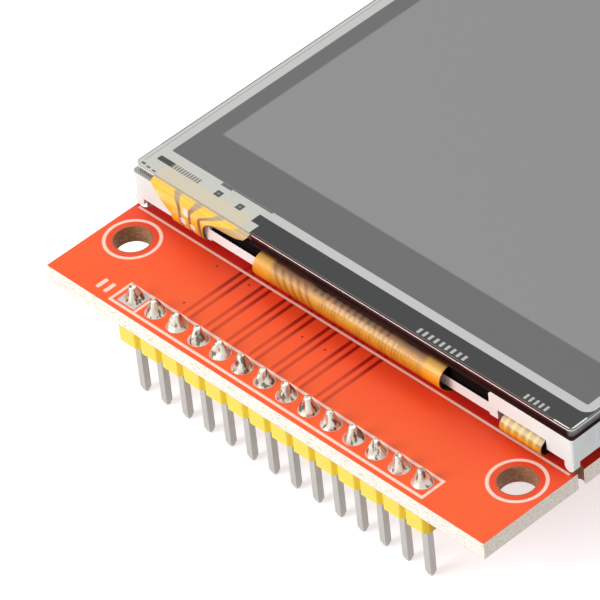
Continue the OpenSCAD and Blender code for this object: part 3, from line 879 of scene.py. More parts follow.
@dataclass
class Board:
    """The circuit board with its printed legend, traces and holes."""

    half_w: float = 25.0
    y0: float = -44.75
    y1: float = 41.25
    thickness: float = 1.6
    hole_x: float = 22.0
    hole_y: float = 38.0
    row_y: float = -42.9
    pins: int = 14
    pitch: float = 2.54
    lcd_y0: float = -34.75
    line: float = 0.2
    pin_line: float = 0.27
    ring_radius: float = 2.36
    ring_line: float = 0.29

    @property
    def first(self) -> float:
        """X of the first pin."""
        return -(self.pins - 1) / 2 * self.pitch

    def legend(self, f: Finish) -> Socket:
        """The printed lines of the upper side.

        Args:
            f: The finish that they belong to.

        Returns:
            The mask's socket.
        """
        first = self.first
        y0, y1 = self.row_y - 1.42, self.row_y + 1.22
        across = self.half_w - 0.4
        card = 1.5 * self.pitch + 1.4
        parts = [
            f.outline(first - 1.62, -first + 1.36, y0, y1, self.pin_line),
            f.box(first + 1.1, first + 1.36, y0, y1),
            f.box(-across, across, self.lcd_y0 - 0.23, self.lcd_y0),
            self.rims(f, self.ring_radius, self.ring_line),
            f.outline(-card, card, self.y1 - 3.2, self.y1 - 0.5, self.line),
            self.plain_mark(f),
        ]
        return f.g.any_of(parts)

    def plain_mark(self, f: Finish) -> Socket:
        """Two short bars beside the first pin."""
        x0, y0 = self.first - 3.59, self.row_y - 1.0
        return f.g.any_of([f.box(x, x + 0.4, y0, y0 + 1.2, 0.1) for x in (x0, x0 + 0.9)])

    def traces(self, f: Finish) -> Socket:
        """Seven pairs of tracks under the solder mask, from the display toward the header.

        Args:
            f: The finish that they belong to.

        Returns:
            The mask's socket.
        """
        pairs = [f.bars(f.x, start, 2.555, 7, 0.36, 0.09) for start in (-12.15, -11.33)]
        lane = f.g.both(f.g.step(f.y, -42.2, -41.2), f.g.step(f.y, -33.0, -34.0))
        strength = f.g.math(Op.ADD, 0.5, f.g.math(Op.MUL, 0.5, f.g.step(f.y, -39.2, -36.2)))
        return f.g.both(f.g.any_of(pairs), f.g.both(lane, strength))

    def vias(self, f: Finish) -> Socket:
        """Small plated holes, filled with solder mask."""
        spots = ((-14.29, -35.8), (-10.6, -35.7), (-2.8, -37.25), (-13.05, -40.6), (-0.3, -37.15))
        return f.g.any_of([f.ring(x, y, 0.0, 0.2) for x, y in spots])

    def pads(self, f: Finish) -> Socket:
        """Tinned rings under the solder joints; the first one is a square.

        Args:
            f: The finish that they belong to.

        Returns:
            The mask's socket.
        """
        g, first, row, half = f.g, self.first, self.row_y, 0.98
        near = g.math(Op.SUB, f.x, first)
        index = g.math(Op.ROUND, g.math(Op.DIV, near, self.pitch))
        side = g.math(Op.SUB, near, g.math(Op.MUL, index, self.pitch))
        reach = g.length(side, g.math(Op.SUB, f.y, row))
        others = f.box(first + self.pitch / 2, -first + self.pitch / 2, row - 3.1, row + 2.9)
        rings = g.both(g.step(reach, 0.93, 0.87), others)
        return g.math(Op.MAX, rings, f.box(first - half, first + half, row - half, row + half))

    def rims(self, f: Finish, radius: float, wide: float) -> Socket:
        """A ring round each mounting hole, for the legend, painted shade and the hole's edge; radius is that
        of its middle.
        """
        places = [(sx * self.hole_x, sy * self.hole_y) for sx in (-1, 1) for sy in (-1, 1)]
        return f.g.any_of([f.ring(x, y, radius, wide) for x, y in places])

    def underside(self, f: Finish) -> tuple[Socket, Socket]:
        """Traces of the lower side, and its legend.

        Args:
            f: The finish that they belong to.

        Returns:
            The sockets of the tracks' mask and of the legend's mask.
        """
        g = f.g
        lanes = g.both(f.bars(f.x, -16.51, self.pitch, self.pins, 0.4, 0.08), g.step(f.y, -20.0, -20.6))
        run = g.both(f.bars(f.y, -10.0, 1.6, 5, 0.4, 0.08), f.box(-17, 17, -12, 1))
        frames = {
            "card socket": (-25.3, 3.6, -1.5, 26.8),
            "touch controller": (-16.0, -10.0, -28.6, -21.0),
            "chip row": (-15.5, 8.6, -37.7, -35.8),
            "header": (-18.2, 18.2, self.row_y - 1.4, self.row_y + 1.4),
        }
        lines = [f.outline(*sides, self.line) for sides in frames.values()]
        lines.append(self.rims(f, self.ring_radius - 0.02, self.ring_line - 0.01))
        return g.math(Op.MAX, lanes, run), g.any_of(lines)

    def finish(self) -> bpy.types.Material:
        """Solder mask above and below, glass-fibre layers at the edges and in the holes, painted shade under
        the frame and round the holes.

        Returns:
            The board's material.
        """
        gloss = Gloss(rough_low=0.34, rough_high=0.46, specular=0.25, bump=0.12, bump_mm=0.02)
        f = Finish("red_solder_mask", gloss)
        g = f.g
        cloud, fine = f.grain(0.11, 3.0)
        tracks = self.traces(f)
        near = g.step(f.y, -33.0, -41.0)
        top = g.mix(near, Hue.MASK_DEEP, Hue.MASK)
        top = g.mix(g.math(Op.MUL, cloud, 0.18), top, Hue.MASK_DEEP)
        shade = g.math(Op.MUL, g.within(f.y, -35.1, -34.5, 34.6, 36.0), 0.75)
        top = g.paint(
            top,
            [
                (tracks, Hue.MASK_TRACE),
                (self.vias(f), Hue.VIA),
                (shade, Hue.MASK_SHADE),
                (self.pads(f), Hue.TIN),
                # painted shade: a faint darker ring round each mounting hole
                (g.math(Op.MUL, self.rims(f, 1.9, 0.5), 0.3), Hue.MASK_SHADE),
                (g.math(Op.MUL, self.rims(f, 1.64, 0.13), 0.75), Hue.HOLE_WALL),
                (g.math(Op.MUL, self.legend(f), 0.94), Hue.LEGEND),
            ],
        )
        lanes, lines = self.underside(f)
        low = g.paint(Hue.MASK_DEEP, [(g.math(Op.MUL, lanes, 0.6), Hue.MASK_TRACE), (lines, Hue.LEGEND)])
        fibre = self.fibre(f)
        upper = g.step(f.z, self.thickness - 0.03, self.thickness - 0.005)
        lower = g.step(f.z, 0.03, 0.005)
        colour = g.paint(fibre, [(upper, top), (lower, low)])
        relief = g.math(Op.ADD, g.math(Op.MUL, fine, 0.4), g.math(Op.MUL, tracks, 0.5))
        return f.close(colour, relief, fine)

    def fibre(self, f: Finish) -> Socket:
        """Cut glass fibre: thin layers across the thickness, browner in the holes.

        Args:
            f: The finish that it belongs to.

        Returns:
            The colour's socket.
        """
        g = f.g
        layers = g.step(g.drawn((f.x, f.y, f.z), (2.6, 2.6, 7.5), 1.2, 6.0), 0.5, 0.68)
        pale = g.mix(g.math(Op.MUL, layers, 0.6), Hue.FIBRE, Hue.FIBRE_DARK)
        skin = 0.05
        inner = f.box(-self.half_w + skin, self.half_w - skin, self.y0 + skin, self.y1 - skin)
        wall = g.mix(g.math(Op.MUL, layers, 0.5), Hue.HOLE_WALL, Hue.FIBRE_DARK)
        return g.mix(inner, pale, wall)


# ---- Pin header ----


@dataclass
class SolderJoints:
    """The fourteen joints, each an uneven cone that closes over its pin."""

    pins: int = 14
    pitch: float = 2.54
    row_y: float = -42.9
    base_z: float = 1.6
    foot: float = 0.87
    neck: float = 0.36
    height: float = 1.34
    dome: float = 0.22
    dome_from: float = 0.8
    curve: float = 1.1
    around: int = 32
    up: int = 26
    seed: int = 40

    def build(self) -> bpy.types.Object:
        """Makes all the joints as one piece.

        The radius falls to the neck almost evenly with the rise, then closes as a round dome;
        two waves round the joint, different for each, make it uneven.

        Returns:
            The piece.
        """
        s = np.linspace(0, 1, self.up)
        rise = np.clip(s / self.dome_from, 0, 1)
        radius = self.foot - (self.foot - self.neck) * rise**self.curve
        closing = np.clip((s - self.dome_from) / (1 - self.dome_from), 0, 1)
        radius = radius * np.sqrt(np.clip(1 - closing**2, 0, 1)) + 1e-3
        height = (self.height - self.dome) * rise**self.curve + self.dome * np.sin(np.pi / 2 * closing)
        turn = np.linspace(0, 2 * np.pi, self.around, endpoint=False)
        points, faces = [], []
        for i in range(self.pins):
            rng = np.random.default_rng(self.seed + i)
            a, b = rng.uniform(0, 2 * np.pi, 2)
            size = rng.uniform(0.95, 1.0)
            wave = 0.1 * np.sin(2 * turn + a) + 0.11 * np.sin(3 * turn + b) - 0.07
            swell = 1 + wave[None, :] * np.sin(np.pi * np.clip(s * 1.15, 0, 1))[:, None] * 1.3
            ring = radius[:, None] * swell * size
            x = (i - (self.pins - 1) / 2) * self.pitch + ring * np.cos(turn)
            y = self.row_y + ring * np.sin(turn)
            z = self.base_z + np.broadcast_to(height[:, None], ring.shape)
            block = np.stack([x, y, z], -1).reshape(-1, 3)
            quads = grid_faces(self.up, self.around, True)
            low = [block[: self.around].mean(0)]
            high = [block[-self.around :].mean(0)]
            k = np.arange(0, self.around, 2)
            n = len(block)
            last = (self.up - 1) * self.around
            floor = np.stack([np.full_like(k, n), (k + 2) % self.around, (k + 1) % self.around, k], 1)
            steps = [last + (k + j) % self.around for j in range(3)]
            lid = np.stack([np.full_like(k, n + 1), *steps], 1)
            block = np.concatenate([block, low, high])
            quads = np.concatenate([quads, floor, lid])
            if volume_of(block - block.mean(0), quads) < 0:
                quads = quads[:, ::-1]
            faces.append(quads + sum(len(p) for p in points))
            points.append(block)
        shell = np.ascontiguousarray(np.concatenate(faces))
        piece = mesh_from("solder_cones", np.concatenate(points), shell)
        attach(piece, BODY)
        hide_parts("solder_joints")
        return piece

    def finish(self) -> bpy.types.Material:
        """Bright solder with dark streaks down its sides: flux runs and painted dark reflections.

        Returns:
            The material.
        """
        gloss = Gloss(metallic=0.85, rough_low=0.22, rough_high=0.4, bump=0.5, bump_mm=0.05)
        f = Finish("bright_solder", gloss)
        _, fine = f.grain(0.9, 2.2)
        # dark streaks down the sides: flux runs, and painted dark reflections
        flux_and_reflection_streaks = f.g.step(f.g.drawn((f.x, f.y, f.z), (0.5, 0.5, 0.14), 5.0, 2.0), 0.52, 0.6)
        colour = f.g.mix(f.g.math(Op.MUL, flux_and_reflection_streaks, 0.85), Hue.SOLDER, Hue.SOLDER_DARK)
        return f.close(colour, fine)


@dataclass
class PinHeader:
    """The moulded strip and its square pins."""

    body_z: float = -2.5
    pins: int = 14
    pitch: float = 2.54

    def strip_finish(self) -> bpy.types.Material:
        """Yellow moulded plastic, with painted shade in the notches between the segments.

        Returns:
            The material.
        """
        gloss = Gloss(rough_low=0.42, rough_high=0.55, specular=0.4, bump=0.15, bump_mm=0.03)
        f = Finish("yellow_header", gloss)
        _, fine = f.grain(0.6, 9.0)
        # painted shade: deeper yellow in the notches between the segments
        joint = f.bars(f.x, -self.pins / 2 * self.pitch, self.pitch, self.pins + 1, 0.62, 0.08)
        colour = f.g.mix(f.g.math(Op.MUL, joint, 0.9), Hue.HEADER, Hue.HEADER_DEEP)
        return f.close(colour, fine)

    def pin_finish(self) -> bpy.types.Material:
        """Tin plate with drawn lines along the pin, and painted shade close under the strip.

        Returns:
            The material.
        """
        gloss = Gloss(metallic=0.45, rough_low=0.3, rough_high=0.45, bump=0.2, bump_mm=0.01)
        f = Finish("tinned_pin", gloss)
        g = f.g
        drawn = g.drawn((f.x, f.y, f.z), (14.0, 14.0, 0.7), 1.0, 4.0)
        # painted shade: darker tin close under the strip
        dark = g.step(f.z, self.body_z - 1.1, self.body_z - 0.2)
        base = g.mix(g.math(Op.MUL, drawn, 0.5), Hue.TIN, Hue.TIN_DARK)
        return f.close(g.mix(g.math(Op.MUL, dark, 0.55), base, Hue.TIN_DARK), drawn)


# ---- Ribbons ----


@dataclass
class Ribbons:
    """The three flexible ribbons at the front of the display."""

    lcd_y0: float = -34.75
    board_top: float = 1.6
    thickness: float = 0.1
    frame_z0: float = 2.7
    main_x: tuple[float, float] = (-9.8, 11.4)
    tail_x: tuple[float, float] = (17.5, 22.0)
    carrier_x: tuple[float, float] = (-23.1, 17.45)
    carrier_z: float = 3.5
    ledge_z: float = 4.46
    wrap_z: float = 3.85
    touch_z: float = 5.9
    main_radius: float = 1.1
    main_turn: float = 215.0
    tail_radius: float = 0.75

    def main_route(self) -> np.ndarray:
        """From the ledge of the glass over the front rail, round and under the frame.

        Returns:
            Points by Y and Z.
        """
        y = self.lcd_y0
        ledge, rest = self.ledge_z, self.board_top + self.thickness / 2
        centre, r = (y + 0.12, self.wrap_z), self.main_radius
        turn = math.radians(self.main_turn)
        end = np.asarray(centre) + r * np.array([math.cos(turn), math.sin(turn)])
        ahead = np.array([-math.sin(turn), math.cos(turn)])
        glass_y = y + 1.1
        top = (centre[0] + 0.05, centre[1] + r)
        under = self.board_top
        return np.concatenate(
            [
                [[glass_y + 0.9, ledge]],
                bend((glass_y + 0.2, ledge), (glass_y - 0.2, ledge), (y + 0.6, top[1]), top),
                arc(centre, r, 90, self.main_turn, 48),
                bend(end + 0.1 * ahead, end + 0.9 * ahead, (y + 0.6, under + 0.35), (y + 1.6, under + 0.35)),
                bend((y + 2.4, under + 0.3), (y + 3.0, under + 0.25), (y + 3.2, rest), (y + 4.0, rest), 12),
                [[y + 7.0, rest]],
            ]
        )

    def tail_route(self) -> np.ndarray:
        """From the diodes out of the arch and back under the frame.

        Returns:
            Points by Y and Z.
        """
        y, rest = self.lcd_y0, self.board_top + self.thickness / 2
        centre, r = (y + 0.2, self.carrier_z - self.tail_radius), self.tail_radius
        low = centre[1] - r
        return np.concatenate(
            [
                [[y + 3.4, self.carrier_z]],
                arc(centre, r, 90, 270, 48),
                bend((y + 2.0, low), (y + 2.8, low), (y + 2.7, rest), (y + 3.5, rest), 12),
                [[y + 5.5, rest]],
            ]
        )

    def touch_route(self) -> np.ndarray:
        """From between the touch glass and the film, down the front and under the frame.

        Returns:
            Points by Y and Z.
        """
        y, rest = self.lcd_y0, self.board_top + self.thickness / 2
        top, low = self.touch_z, self.frame_z0 - 0.2
        mid = np.array([y - 0.45, 4.25])
        return np.concatenate(
            [
                [[y + 1.92, top]],
                bend((y + 0.17, top), (y - 0.3, top), (mid[0] - 0.05, top - 0.5), mid, 40),
                bend(mid + (0.005, -0.1), (mid[0] + 0.05, low + 0.5), (y - 0.25, low), (y + 0.35, low)),
                bend((y + 2.0, low), (y + 3.0, low), (y + 3.0, rest), (y + 4.0, rest), 12),
                [[y + 6.0, rest]],
            ]
        )

    def build(self) -> list[bpy.types.Object]:
        """Makes the ribbons and dresses them.

        Returns:
            The main ribbon, the backlight's tail and the touch panel's tail.
        """
        main, tail, touch = self.main_route(), self.tail_route(), self.touch_route()
        pieces = [
            self.straight("display_ribbon", main, self.main_x, 40),
            self.straight("backlight_tail", tail, self.tail_x),
            strip_piece("touch_tail", touch, *self.touch_sides(touch), self.thickness, 30),
        ]
        carrier = np.array([[self.lcd_y0 + 1.1, self.carrier_z], tail[0]])
        self.take_in(pieces[1], self.straight("diode_carrier", carrier, self.carrier_x))
        nodes = ("main_ribbon", "backlight_ribbon", "touch_ribbon")
        finishes = (self.main_finish(), self.tail_finish(), self.touch_finish())
        for piece, node, material in zip(pieces, nodes, finishes):
            piece.data.materials.append(material)
            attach(piece, BODY)
            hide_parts(node)
        return pieces

    def straight(
        self, name: str, route: np.ndarray, sides: tuple[float, float], across: int = 24
    ) -> bpy.types.Object:
        """A strip of the same width all along, between its least and its greatest X."""
        left, right = (np.full(len(route), x) for x in sides)
        return strip_piece(name, route, left, right, self.thickness, across)

    def take_in(self, piece: bpy.types.Object, other: bpy.types.Object) -> None:
        """Adds another strip's mesh to a piece, so that both are one object.

        Args:
            piece: The piece that stays.
            other: The strip that is taken in.
        """
        both = bmesh.new()
        both.from_mesh(piece.data)
        both.from_mesh(other.data)
        both.to_mesh(piece.data)
        both.free()
        bpy.data.objects.remove(other)

    def touch_sides(self, route: np.ndarray) -> tuple[np.ndarray, np.ndarray]:
        """Where the touch ribbon's sides lie at each height: slanted at one side, round at the other.

        Args:
            route: Middle of the ribbon, Y and Z.

        Returns:
            Least and greatest X at each point.
        """
        z = route[:, 1]
        left = np.interp(z, [3.6, 5.7], [-20.1, -22.4])
        turn = np.radians(np.linspace(180, 100, 13))
        heights = np.concatenate([3.4 + 1.7 * np.sin(turn), [5.25, 5.5, 5.8]])
        places = np.concatenate([-14.7 + 1.7 * np.cos(turn), [-12.3, -11.4, -11.1]])
        return left, np.interp(z, heights, places)

    def start(self, name: str, gloss: Gloss) -> tuple[Finish, Socket, Socket]:
        """A finish that reads the ribbon's own map.

        Args:
            name: Name of the material.
            gloss: How it takes the light.

        Returns:
            The finish, X, and the distance along the ribbon, both in millimetres.
        """
        f = Finish(name, gloss)
        source = f.g.add("ShaderNodeUVMap", uv_map="route")
        u, v, _ = f.g.split(source.outputs[0])
        return f, f.g.math(Op.MUL, u, 100.0), f.g.math(Op.MUL, v, 100.0)

    def inner_side_shade(self, f: Finish) -> Socket:
        """1 on the side of the ribbon that faces the rail, where painted shade goes; 0 on the other."""
        return f.g.add("ShaderNodeAttribute", attribute_name="inner").outputs["Fac"]

    def main_finish(self) -> bpy.types.Material:
        """Amber film: a painted shadow of the panel in brown and a painted highlight in tan over the rail,
        gold tracks below, clearer at both ends.

        Returns:
            The material.
        """
        gloss = Gloss(rough_low=0.24, rough_high=0.38, coat=0.2, bump=0.12, bump_mm=0.02)
        f, u, v = self.start("amber_ribbon", gloss)
        g = f.g
        cloud, fine = f.grain(0.6, 6.0)
        # along the bend: painted shadow of the panel at the top, a painted tan highlight, then deeper amber
        # toward the bottom
        middle = g.ramp(
            v,
            (1.9, Hue.DARK_SHADE_AND_TRACE),
            (2.3, Hue.PANEL_SHADOW_BROWN),
            (2.7, Hue.HIGHLIGHT_TAN),
            (3.1, Hue.AMBER_DULL),
            (4.2, Hue.AMBER_LOW),
        )
        # at the clearer ends: painted shadow at the top, a painted highlight, then deeper amber toward the
        # bottom
        ends = g.ramp(
            v,
            (1.9, Hue.BROWN_TRACK_AND_SHADE),
            (2.35, Hue.CLEAR_AMBER),
            (2.75, Hue.AMBER_HIGHLIGHT),
            (3.1, Hue.AMBER),
            (4.2, Hue.AMBER_DEEP),
        )
        clear = g.math(Op.MAX, g.step(u, -7.7, -8.3), g.step(u, 9.2, 9.7))
        slant = g.math(Op.SUB, u, g.math(Op.MUL, 0.8, g.math(Op.SUB, v, 2.2)))
        curved = f.bars(slant, -7.9, 0.88, 5, 0.4, 0.16)
        fine_tracks = g.both(f.bars(u, -2.2, 0.36, 32, 0.14, 0.07), g.step(v, 2.7, 3.1))
        broad = g.both(f.bars(u, -1.1, 1.35, 8, 0.5, 0.3), g.step(v, 2.4, 2.9))
        teeth = g.both(f.bars(u, -3.1, 0.75, 12, 0.34, 0.08), g.within(v, 1.95, 2.1, 2.45, 2.75))
        # painted sheen: pale striped spots in the middle of the bend
        patch = g.both(f.box(-1.6, 6.6, -37.0, -33.0), g.within(v, 2.55, 2.7, 2.95, 3.15))
        patch = g.both(patch, f.bars(u, -1.4, 0.55, 15, 0.28, 0.08))
        colour = g.mix(g.math(Op.MUL, cloud, 0.3), g.mix(clear, middle, ends), Hue.AMBER_LOW)
        colour = g.paint(
            colour,
            [
                (g.math(Op.MUL, g.both(curved, g.step(v, 2.1, 2.4)), 0.62), Hue.BROWN_TRACK_AND_SHADE),
                (g.math(Op.MUL, g.both(fine_tracks, g.step(cloud, 0.2, 0.7)), 0.45), Hue.BROWN_TRACK_AND_SHADE),
                (g.math(Op.MUL, g.both(broad, cloud), 0.35), Hue.AMBER),
                (g.math(Op.MUL, patch, 0.35), Hue.PALE_BOND_AND_HIGHLIGHT),
                (g.math(Op.MUL, teeth, 0.6), Hue.DARK_SHADE_AND_TRACE),
                # painted shade on the side that faces the rail
                (g.math(Op.MUL, self.inner_side_shade(f), 0.85), Hue.DARK_SHADE_AND_TRACE),
            ],
        )
        return f.close(colour, fine)

    def tail_finish(self) -> bpy.types.Material:
        """Amber film over narrow gold tracks, with a painted highlight at the top of the bend and painted
        shade on the side that faces the rail.

        Returns:
            The material.
        """
        gloss = Gloss(rough_low=0.22, rough_high=0.34, coat=0.2, bump=0.1, bump_mm=0.02)
        f, u, v = self.start("amber_tail", gloss)
        g = f.g
        cloud, fine = f.grain(0.8, 6.0)
        tracks = f.bars(u, 18.12, 0.79, 5, 0.3, 0.12)
        # painted highlight: paler tan at the top of the bend, deeper amber below
        base = g.ramp(
            v,
            (3.0, Hue.HIGHLIGHT_TAN),
            (3.6, Hue.PALE_BOND_AND_HIGHLIGHT),
            (3.95, Hue.HIGHLIGHT_TAN),
            (4.3, Hue.AMBER_DULL),
            (5.0, Hue.AMBER_LOW),
        )
        # the tracks take the same painted highlight at the top of the bend
        gold = g.ramp(
            v,
            (3.0, Hue.PALE_BOND_AND_HIGHLIGHT),
            (3.6, Hue.GOLD_HIGHLIGHT),
            (4.3, Hue.AMBER),
            (5.0, Hue.AMBER_DEEP),
        )
        colour = g.mix(g.math(Op.MUL, cloud, 0.25), base, Hue.AMBER_LOW)
        colour = g.mix(g.math(Op.MUL, tracks, 0.85), colour, gold)
        # painted shade on the side that faces the rail
        return f.close(g.mix(g.math(Op.MUL, self.inner_side_shade(f), 0.85), colour, Hue.DARK_SHADE_AND_TRACE), fine)

    def touch_finish(self) -> bpy.types.Material:
        """Four gold tracks that draw together as they go down, in clear amber film.

        The tracks stand one pitch apart; the pitch and the place of the first one change
        smoothly with the distance along the ribbon.

        Returns:
            The material.
        """
        gloss = Gloss(rough_low=0.2, rough_high=0.34, coat=0.25, bump=0.12, bump_mm=0.02)
        f, u, v = self.start("touch_ribbon_film", gloss)
        g = f.g
        cloud, fine = f.grain(0.6, 6.0)
        drawn = g.step(v, 1.75, 3.25)
        pitch = g.math(Op.SUB, 2.5, g.math(Op.MUL, drawn, 1.35))
        first = g.math(Op.SUB, g.math(Op.MUL, drawn, 1.15), 20.65)
        place = g.math(Op.DIV, g.math(Op.SUB, u, first), pitch)
        tracks = g.math(Op.MAX, f.bars(place, 0.0, 1.0, 4, 0.68, 0.07), g.step(place, -0.05, -0.2))
        margin = g.step(place, 3.3, 3.4)
        bond = g.step(v, 2.0, 1.75)
        # painted highlight on the tracks where the ribbon bulges out
        gold = g.ramp(
            v,
            (2.4, Hue.GOLD_TRACK),
            (3.0, Hue.GOLD_HIGHLIGHT),
            (3.6, Hue.GOLD_TRACK),
            (4.8, Hue.AMBER),
        )
        gap = g.mix(margin, Hue.GAP_BROWN, Hue.CLEAR_AMBER)
        # painted highlight: the gaps paler toward the top of the bulge
        gap = g.mix(g.math(Op.MUL, g.step(v, 3.6, 2.0), 0.35), gap, Hue.PALE_BOND_AND_HIGHLIGHT)
        along = g.add("ShaderNodeCombineXYZ")
        g.feed(along.inputs[0], u)
        g.feed(along.inputs[1], v)
        blocks = ((-18.43, -17.87, 2.8, 3.6), (-18.92, -18.32, 4.03, 4.67), (-17.8, -17.2, 4.15, 4.75))
        marks = [f.box(*sides, 0.15, 0.06, along.outputs[0]) for sides in blocks]
        colour = g.paint(
            g.mix(tracks, gap, gold),
            [
                (g.math(Op.MUL, cloud, 0.15), Hue.AMBER),
                (g.math(Op.MUL, bond, 0.6), Hue.PALE_BOND_AND_HIGHLIGHT),
                (g.math(Op.MUL, g.any_of(marks), 0.9), Hue.WHITE),
                # painted shade on the side that faces the rail
                (g.math(Op.MUL, self.inner_side_shade(f), 0.8), Hue.BROWN_TRACK_AND_SHADE),
            ],
        )
        return f.close(colour, fine)


# ---- Touch panel ----


@dataclass(frozen=True)
class BoxLayer:
    """One rectangle of colour on the film, print and painted highlights alike: its sides, colour, strength,
    corner radius and blur.
    """

    x0: float
    x1: float
    y0: float
    y1: float
    hue: Hue
    share: float = 1.0
    corner: float = 0.0
    soft: float = 0.03


@dataclass
class TouchPanel:
    """The printed film, the glass under it and its edges."""

    ring_x0: float = -24.3
    ring_x1: float = 24.62
    ring_y0: float = -32.48
    ring_y1: float = 33.9
    ring_w: float = 0.86
    top_z: float = 6.15

    def screen_print(self) -> list[BoxLayer]:
        """What is printed round and under the screen, lowest first.

        Returns:
            The screen and its border, the silver corner with the ribbon's bond, the notches of
            the silver, and its dark strip.
        """
        x0, x1, y0, y1, w = self.ring_x0, self.ring_x1, self.ring_y0, self.ring_y1, self.ring_w
        inner_y = y0 + w
        return [
            BoxLayer(-24.66, x0 + 0.2, -34.6, y1, Hue.FILM_RING),
            BoxLayer(x0 + w, x1 - w, inner_y, y1 - w, Hue.FILM_GREY, corner=0.15),
            BoxLayer(-21.75, 21.5, -27.5, 30.1, Hue.FILM_ACTIVE, soft=0.12),
            BoxLayer(-24.9, -12.1, -34.8, inner_y, Hue.FILM_SILVER),
            BoxLayer(-12.4, -11.15, -34.8, -33.5, Hue.FILM_SILVER),
            BoxLayer(-22.35, -12.2, -36.0, -33.15, Hue.FILM_BOND, 0.75, 0.5, 0.06),
            BoxLayer(-17.25, -16.0, -31.98, inner_y, Hue.FILM_GREY),
            BoxLayer(-16.1, -11.4, -31.8, inner_y, Hue.FILM_GREY),
            BoxLayer(-23.66, -22.0, -33.12, -32.56, Hue.FILM_MARK, 0.95, 0.05),
        ]

    def small_marks(self) -> list[BoxLayer]:
        """Dashes, squares with their eyes, lines at the left side, and painted highlights along the film's
        cut rim.

        Returns:
            The marks, lowest first.
        """
        return [
            BoxLayer(-24.3, -23.85, -34.3, -34.08, Hue.FILM_MARK, 0.85),
            BoxLayer(-23.6, -23.2, -34.38, -34.2, Hue.FILM_MARK, 0.85),
            BoxLayer(-22.9, -22.5, -34.42, -34.26, Hue.FILM_MARK, 0.85),
            BoxLayer(-16.9, -16.2, -33.2, -32.55, Hue.FILM_MARK, 0.9),
            BoxLayer(-14.35, -13.68, -33.22, -32.56, Hue.FILM_MARK, 0.9),
            BoxLayer(-16.64, -16.44, -32.96, -32.78, Hue.FILM_LINE),
            BoxLayer(-14.12, -13.92, -32.98, -32.8, Hue.FILM_LINE),
            BoxLayer(-24.8, -24.66, -34.4, 34.3, Hue.FILM_LINE, 0.8),
            BoxLayer(-24.34, -24.26, -33.8, 33.8, Hue.FILM_LINE, 0.8),
            # painted highlights along the film's cut rim: grey at the front and right, white at the
            # front-right corner
            BoxLayer(-10.9, 24.8, -34.6, -34.46, Hue.FILM_LINE, 0.45),
            BoxLayer(24.7, 24.8, -34.46, 34.3, Hue.FILM_LINE, 0.45),
            BoxLayer(22.9, 24.8, -34.6, -34.44, Hue.WHITE),
            BoxLayer(24.66, 24.8, -34.6, -32.7, Hue.WHITE),
        ]

    def lay(self, f: Finish, base: Colour, boxes: Sequence[BoxLayer]) -> Colour:
        """Lays rectangles of colour, print and painted highlights, over a colour.

        Args:
            f: The finish that they belong to.
            base: The colour below.
            boxes: The rectangles, lowest first.

        Returns:
            The printed colour.
        """
        for p in boxes:
            mask = f.g.math(Op.MUL, f.box(p.x0, p.x1, p.y0, p.y1, p.corner, p.soft), p.share)
            base = f.g.mix(mask, base, p.hue)
        return base

    def film_finish(self) -> bpy.types.Material:
        """Print seen through the clear film: silver ring, dark border, grey screen, with painted highlights
        along its front and right rim.

        Returns:
            The material.
        """
        gloss = Gloss(rough_low=0.26, rough_high=0.3, specular=0.3, bump=0.0)
        f = Finish("printed_film", gloss)
        g = f.g
        _, fine = f.grain(0.1, 0.7)
        dotted = g.both(f.bars(f.x, -24.6, 0.16, 310, 0.07, 0.03), f.bars(f.y, -32.4, 0.16, 420, 0.07, 0.03))
        ring = g.mix(g.math(Op.MUL, dotted, 0.18), Hue.FILM_RING, Hue.FILM_GREY)
        outer = f.box(self.ring_x0, self.ring_x1, self.ring_y0, self.ring_y1, 1.0)
        colour = self.lay(f, g.mix(outer, Hue.FILM_BAND, ring), self.screen_print())
        comb = g.both(f.bars(f.x, -21.9, 0.3, 11, 0.17, 0.05), f.box(-22.1, -18.75, -33.14, -32.58))
        rows = g.math(Op.MAX, self.bar_row(f, 7.4, 13.0, 9), self.bar_row(f, 19.2, 21.9, 5))
        colour = g.mix(g.math(Op.MUL, comb, 0.75), colour, Hue.FILM_MARK)
        colour = g.mix(g.math(Op.MUL, rows, 0.85), colour, Hue.FILM_RING)
        colour = self.lay(f, colour, self.small_marks())
        side = g.step(f.z, self.top_z - 0.05, self.top_z - 0.01)
        return f.close(g.mix(side, self.edge_colour(f), colour), fine)

    def bar_row(self, f: Finish, x0: float, x1: float, count: int) -> Socket:
        """A row of short upright bars on the dark border, from x0 to x1."""
        pitch = (x1 - x0) / count
        return f.g.both(f.bars(f.x, x0 + pitch / 2, pitch, count, pitch * 0.45), f.box(x0, x1, -34.3, -33.7))

    def edge_colour(self, f: Finish) -> Socket:
        """Edges: greenish at the silver corner, purple-brown along the front, grey at the side.

        Args:
            f: The finish that they belong to.

        Returns:
            The colour's socket.
        """
        g = f.g
        green = g.both(g.step(f.x, -10.9, -11.4), g.step(f.y, -20.0, -30.0))
        left = g.step(f.x, -24.0, -24.6)
        side = g.step(f.x, 24.2, 24.7)
        return g.paint(
            Hue.PANEL_EDGE,
            [
                (side, Hue.PANEL_EDGE_GREY),
                (g.math(Op.MAX, green, left), Hue.PANEL_EDGE_GREEN),
            ],
        )

    def glass_finish(self) -> bpy.types.Material:
        """The polished edge of the glass: dark, with a row of dark marks at the silver corner and a painted
        highlight along its top arris at the right end.

        Returns:
            The material.
        """
        gloss = Gloss(rough_low=0.15, rough_high=0.3, specular=0.3, bump=0.15, bump_mm=0.02)
        f = Finish("panel_glass_edge", gloss)
        g = f.g
        cloud, fine = f.grain(0.5, 4.0)
        colour = g.mix(g.math(Op.MUL, cloud, 0.3), self.edge_colour(f), Hue.BLACK)
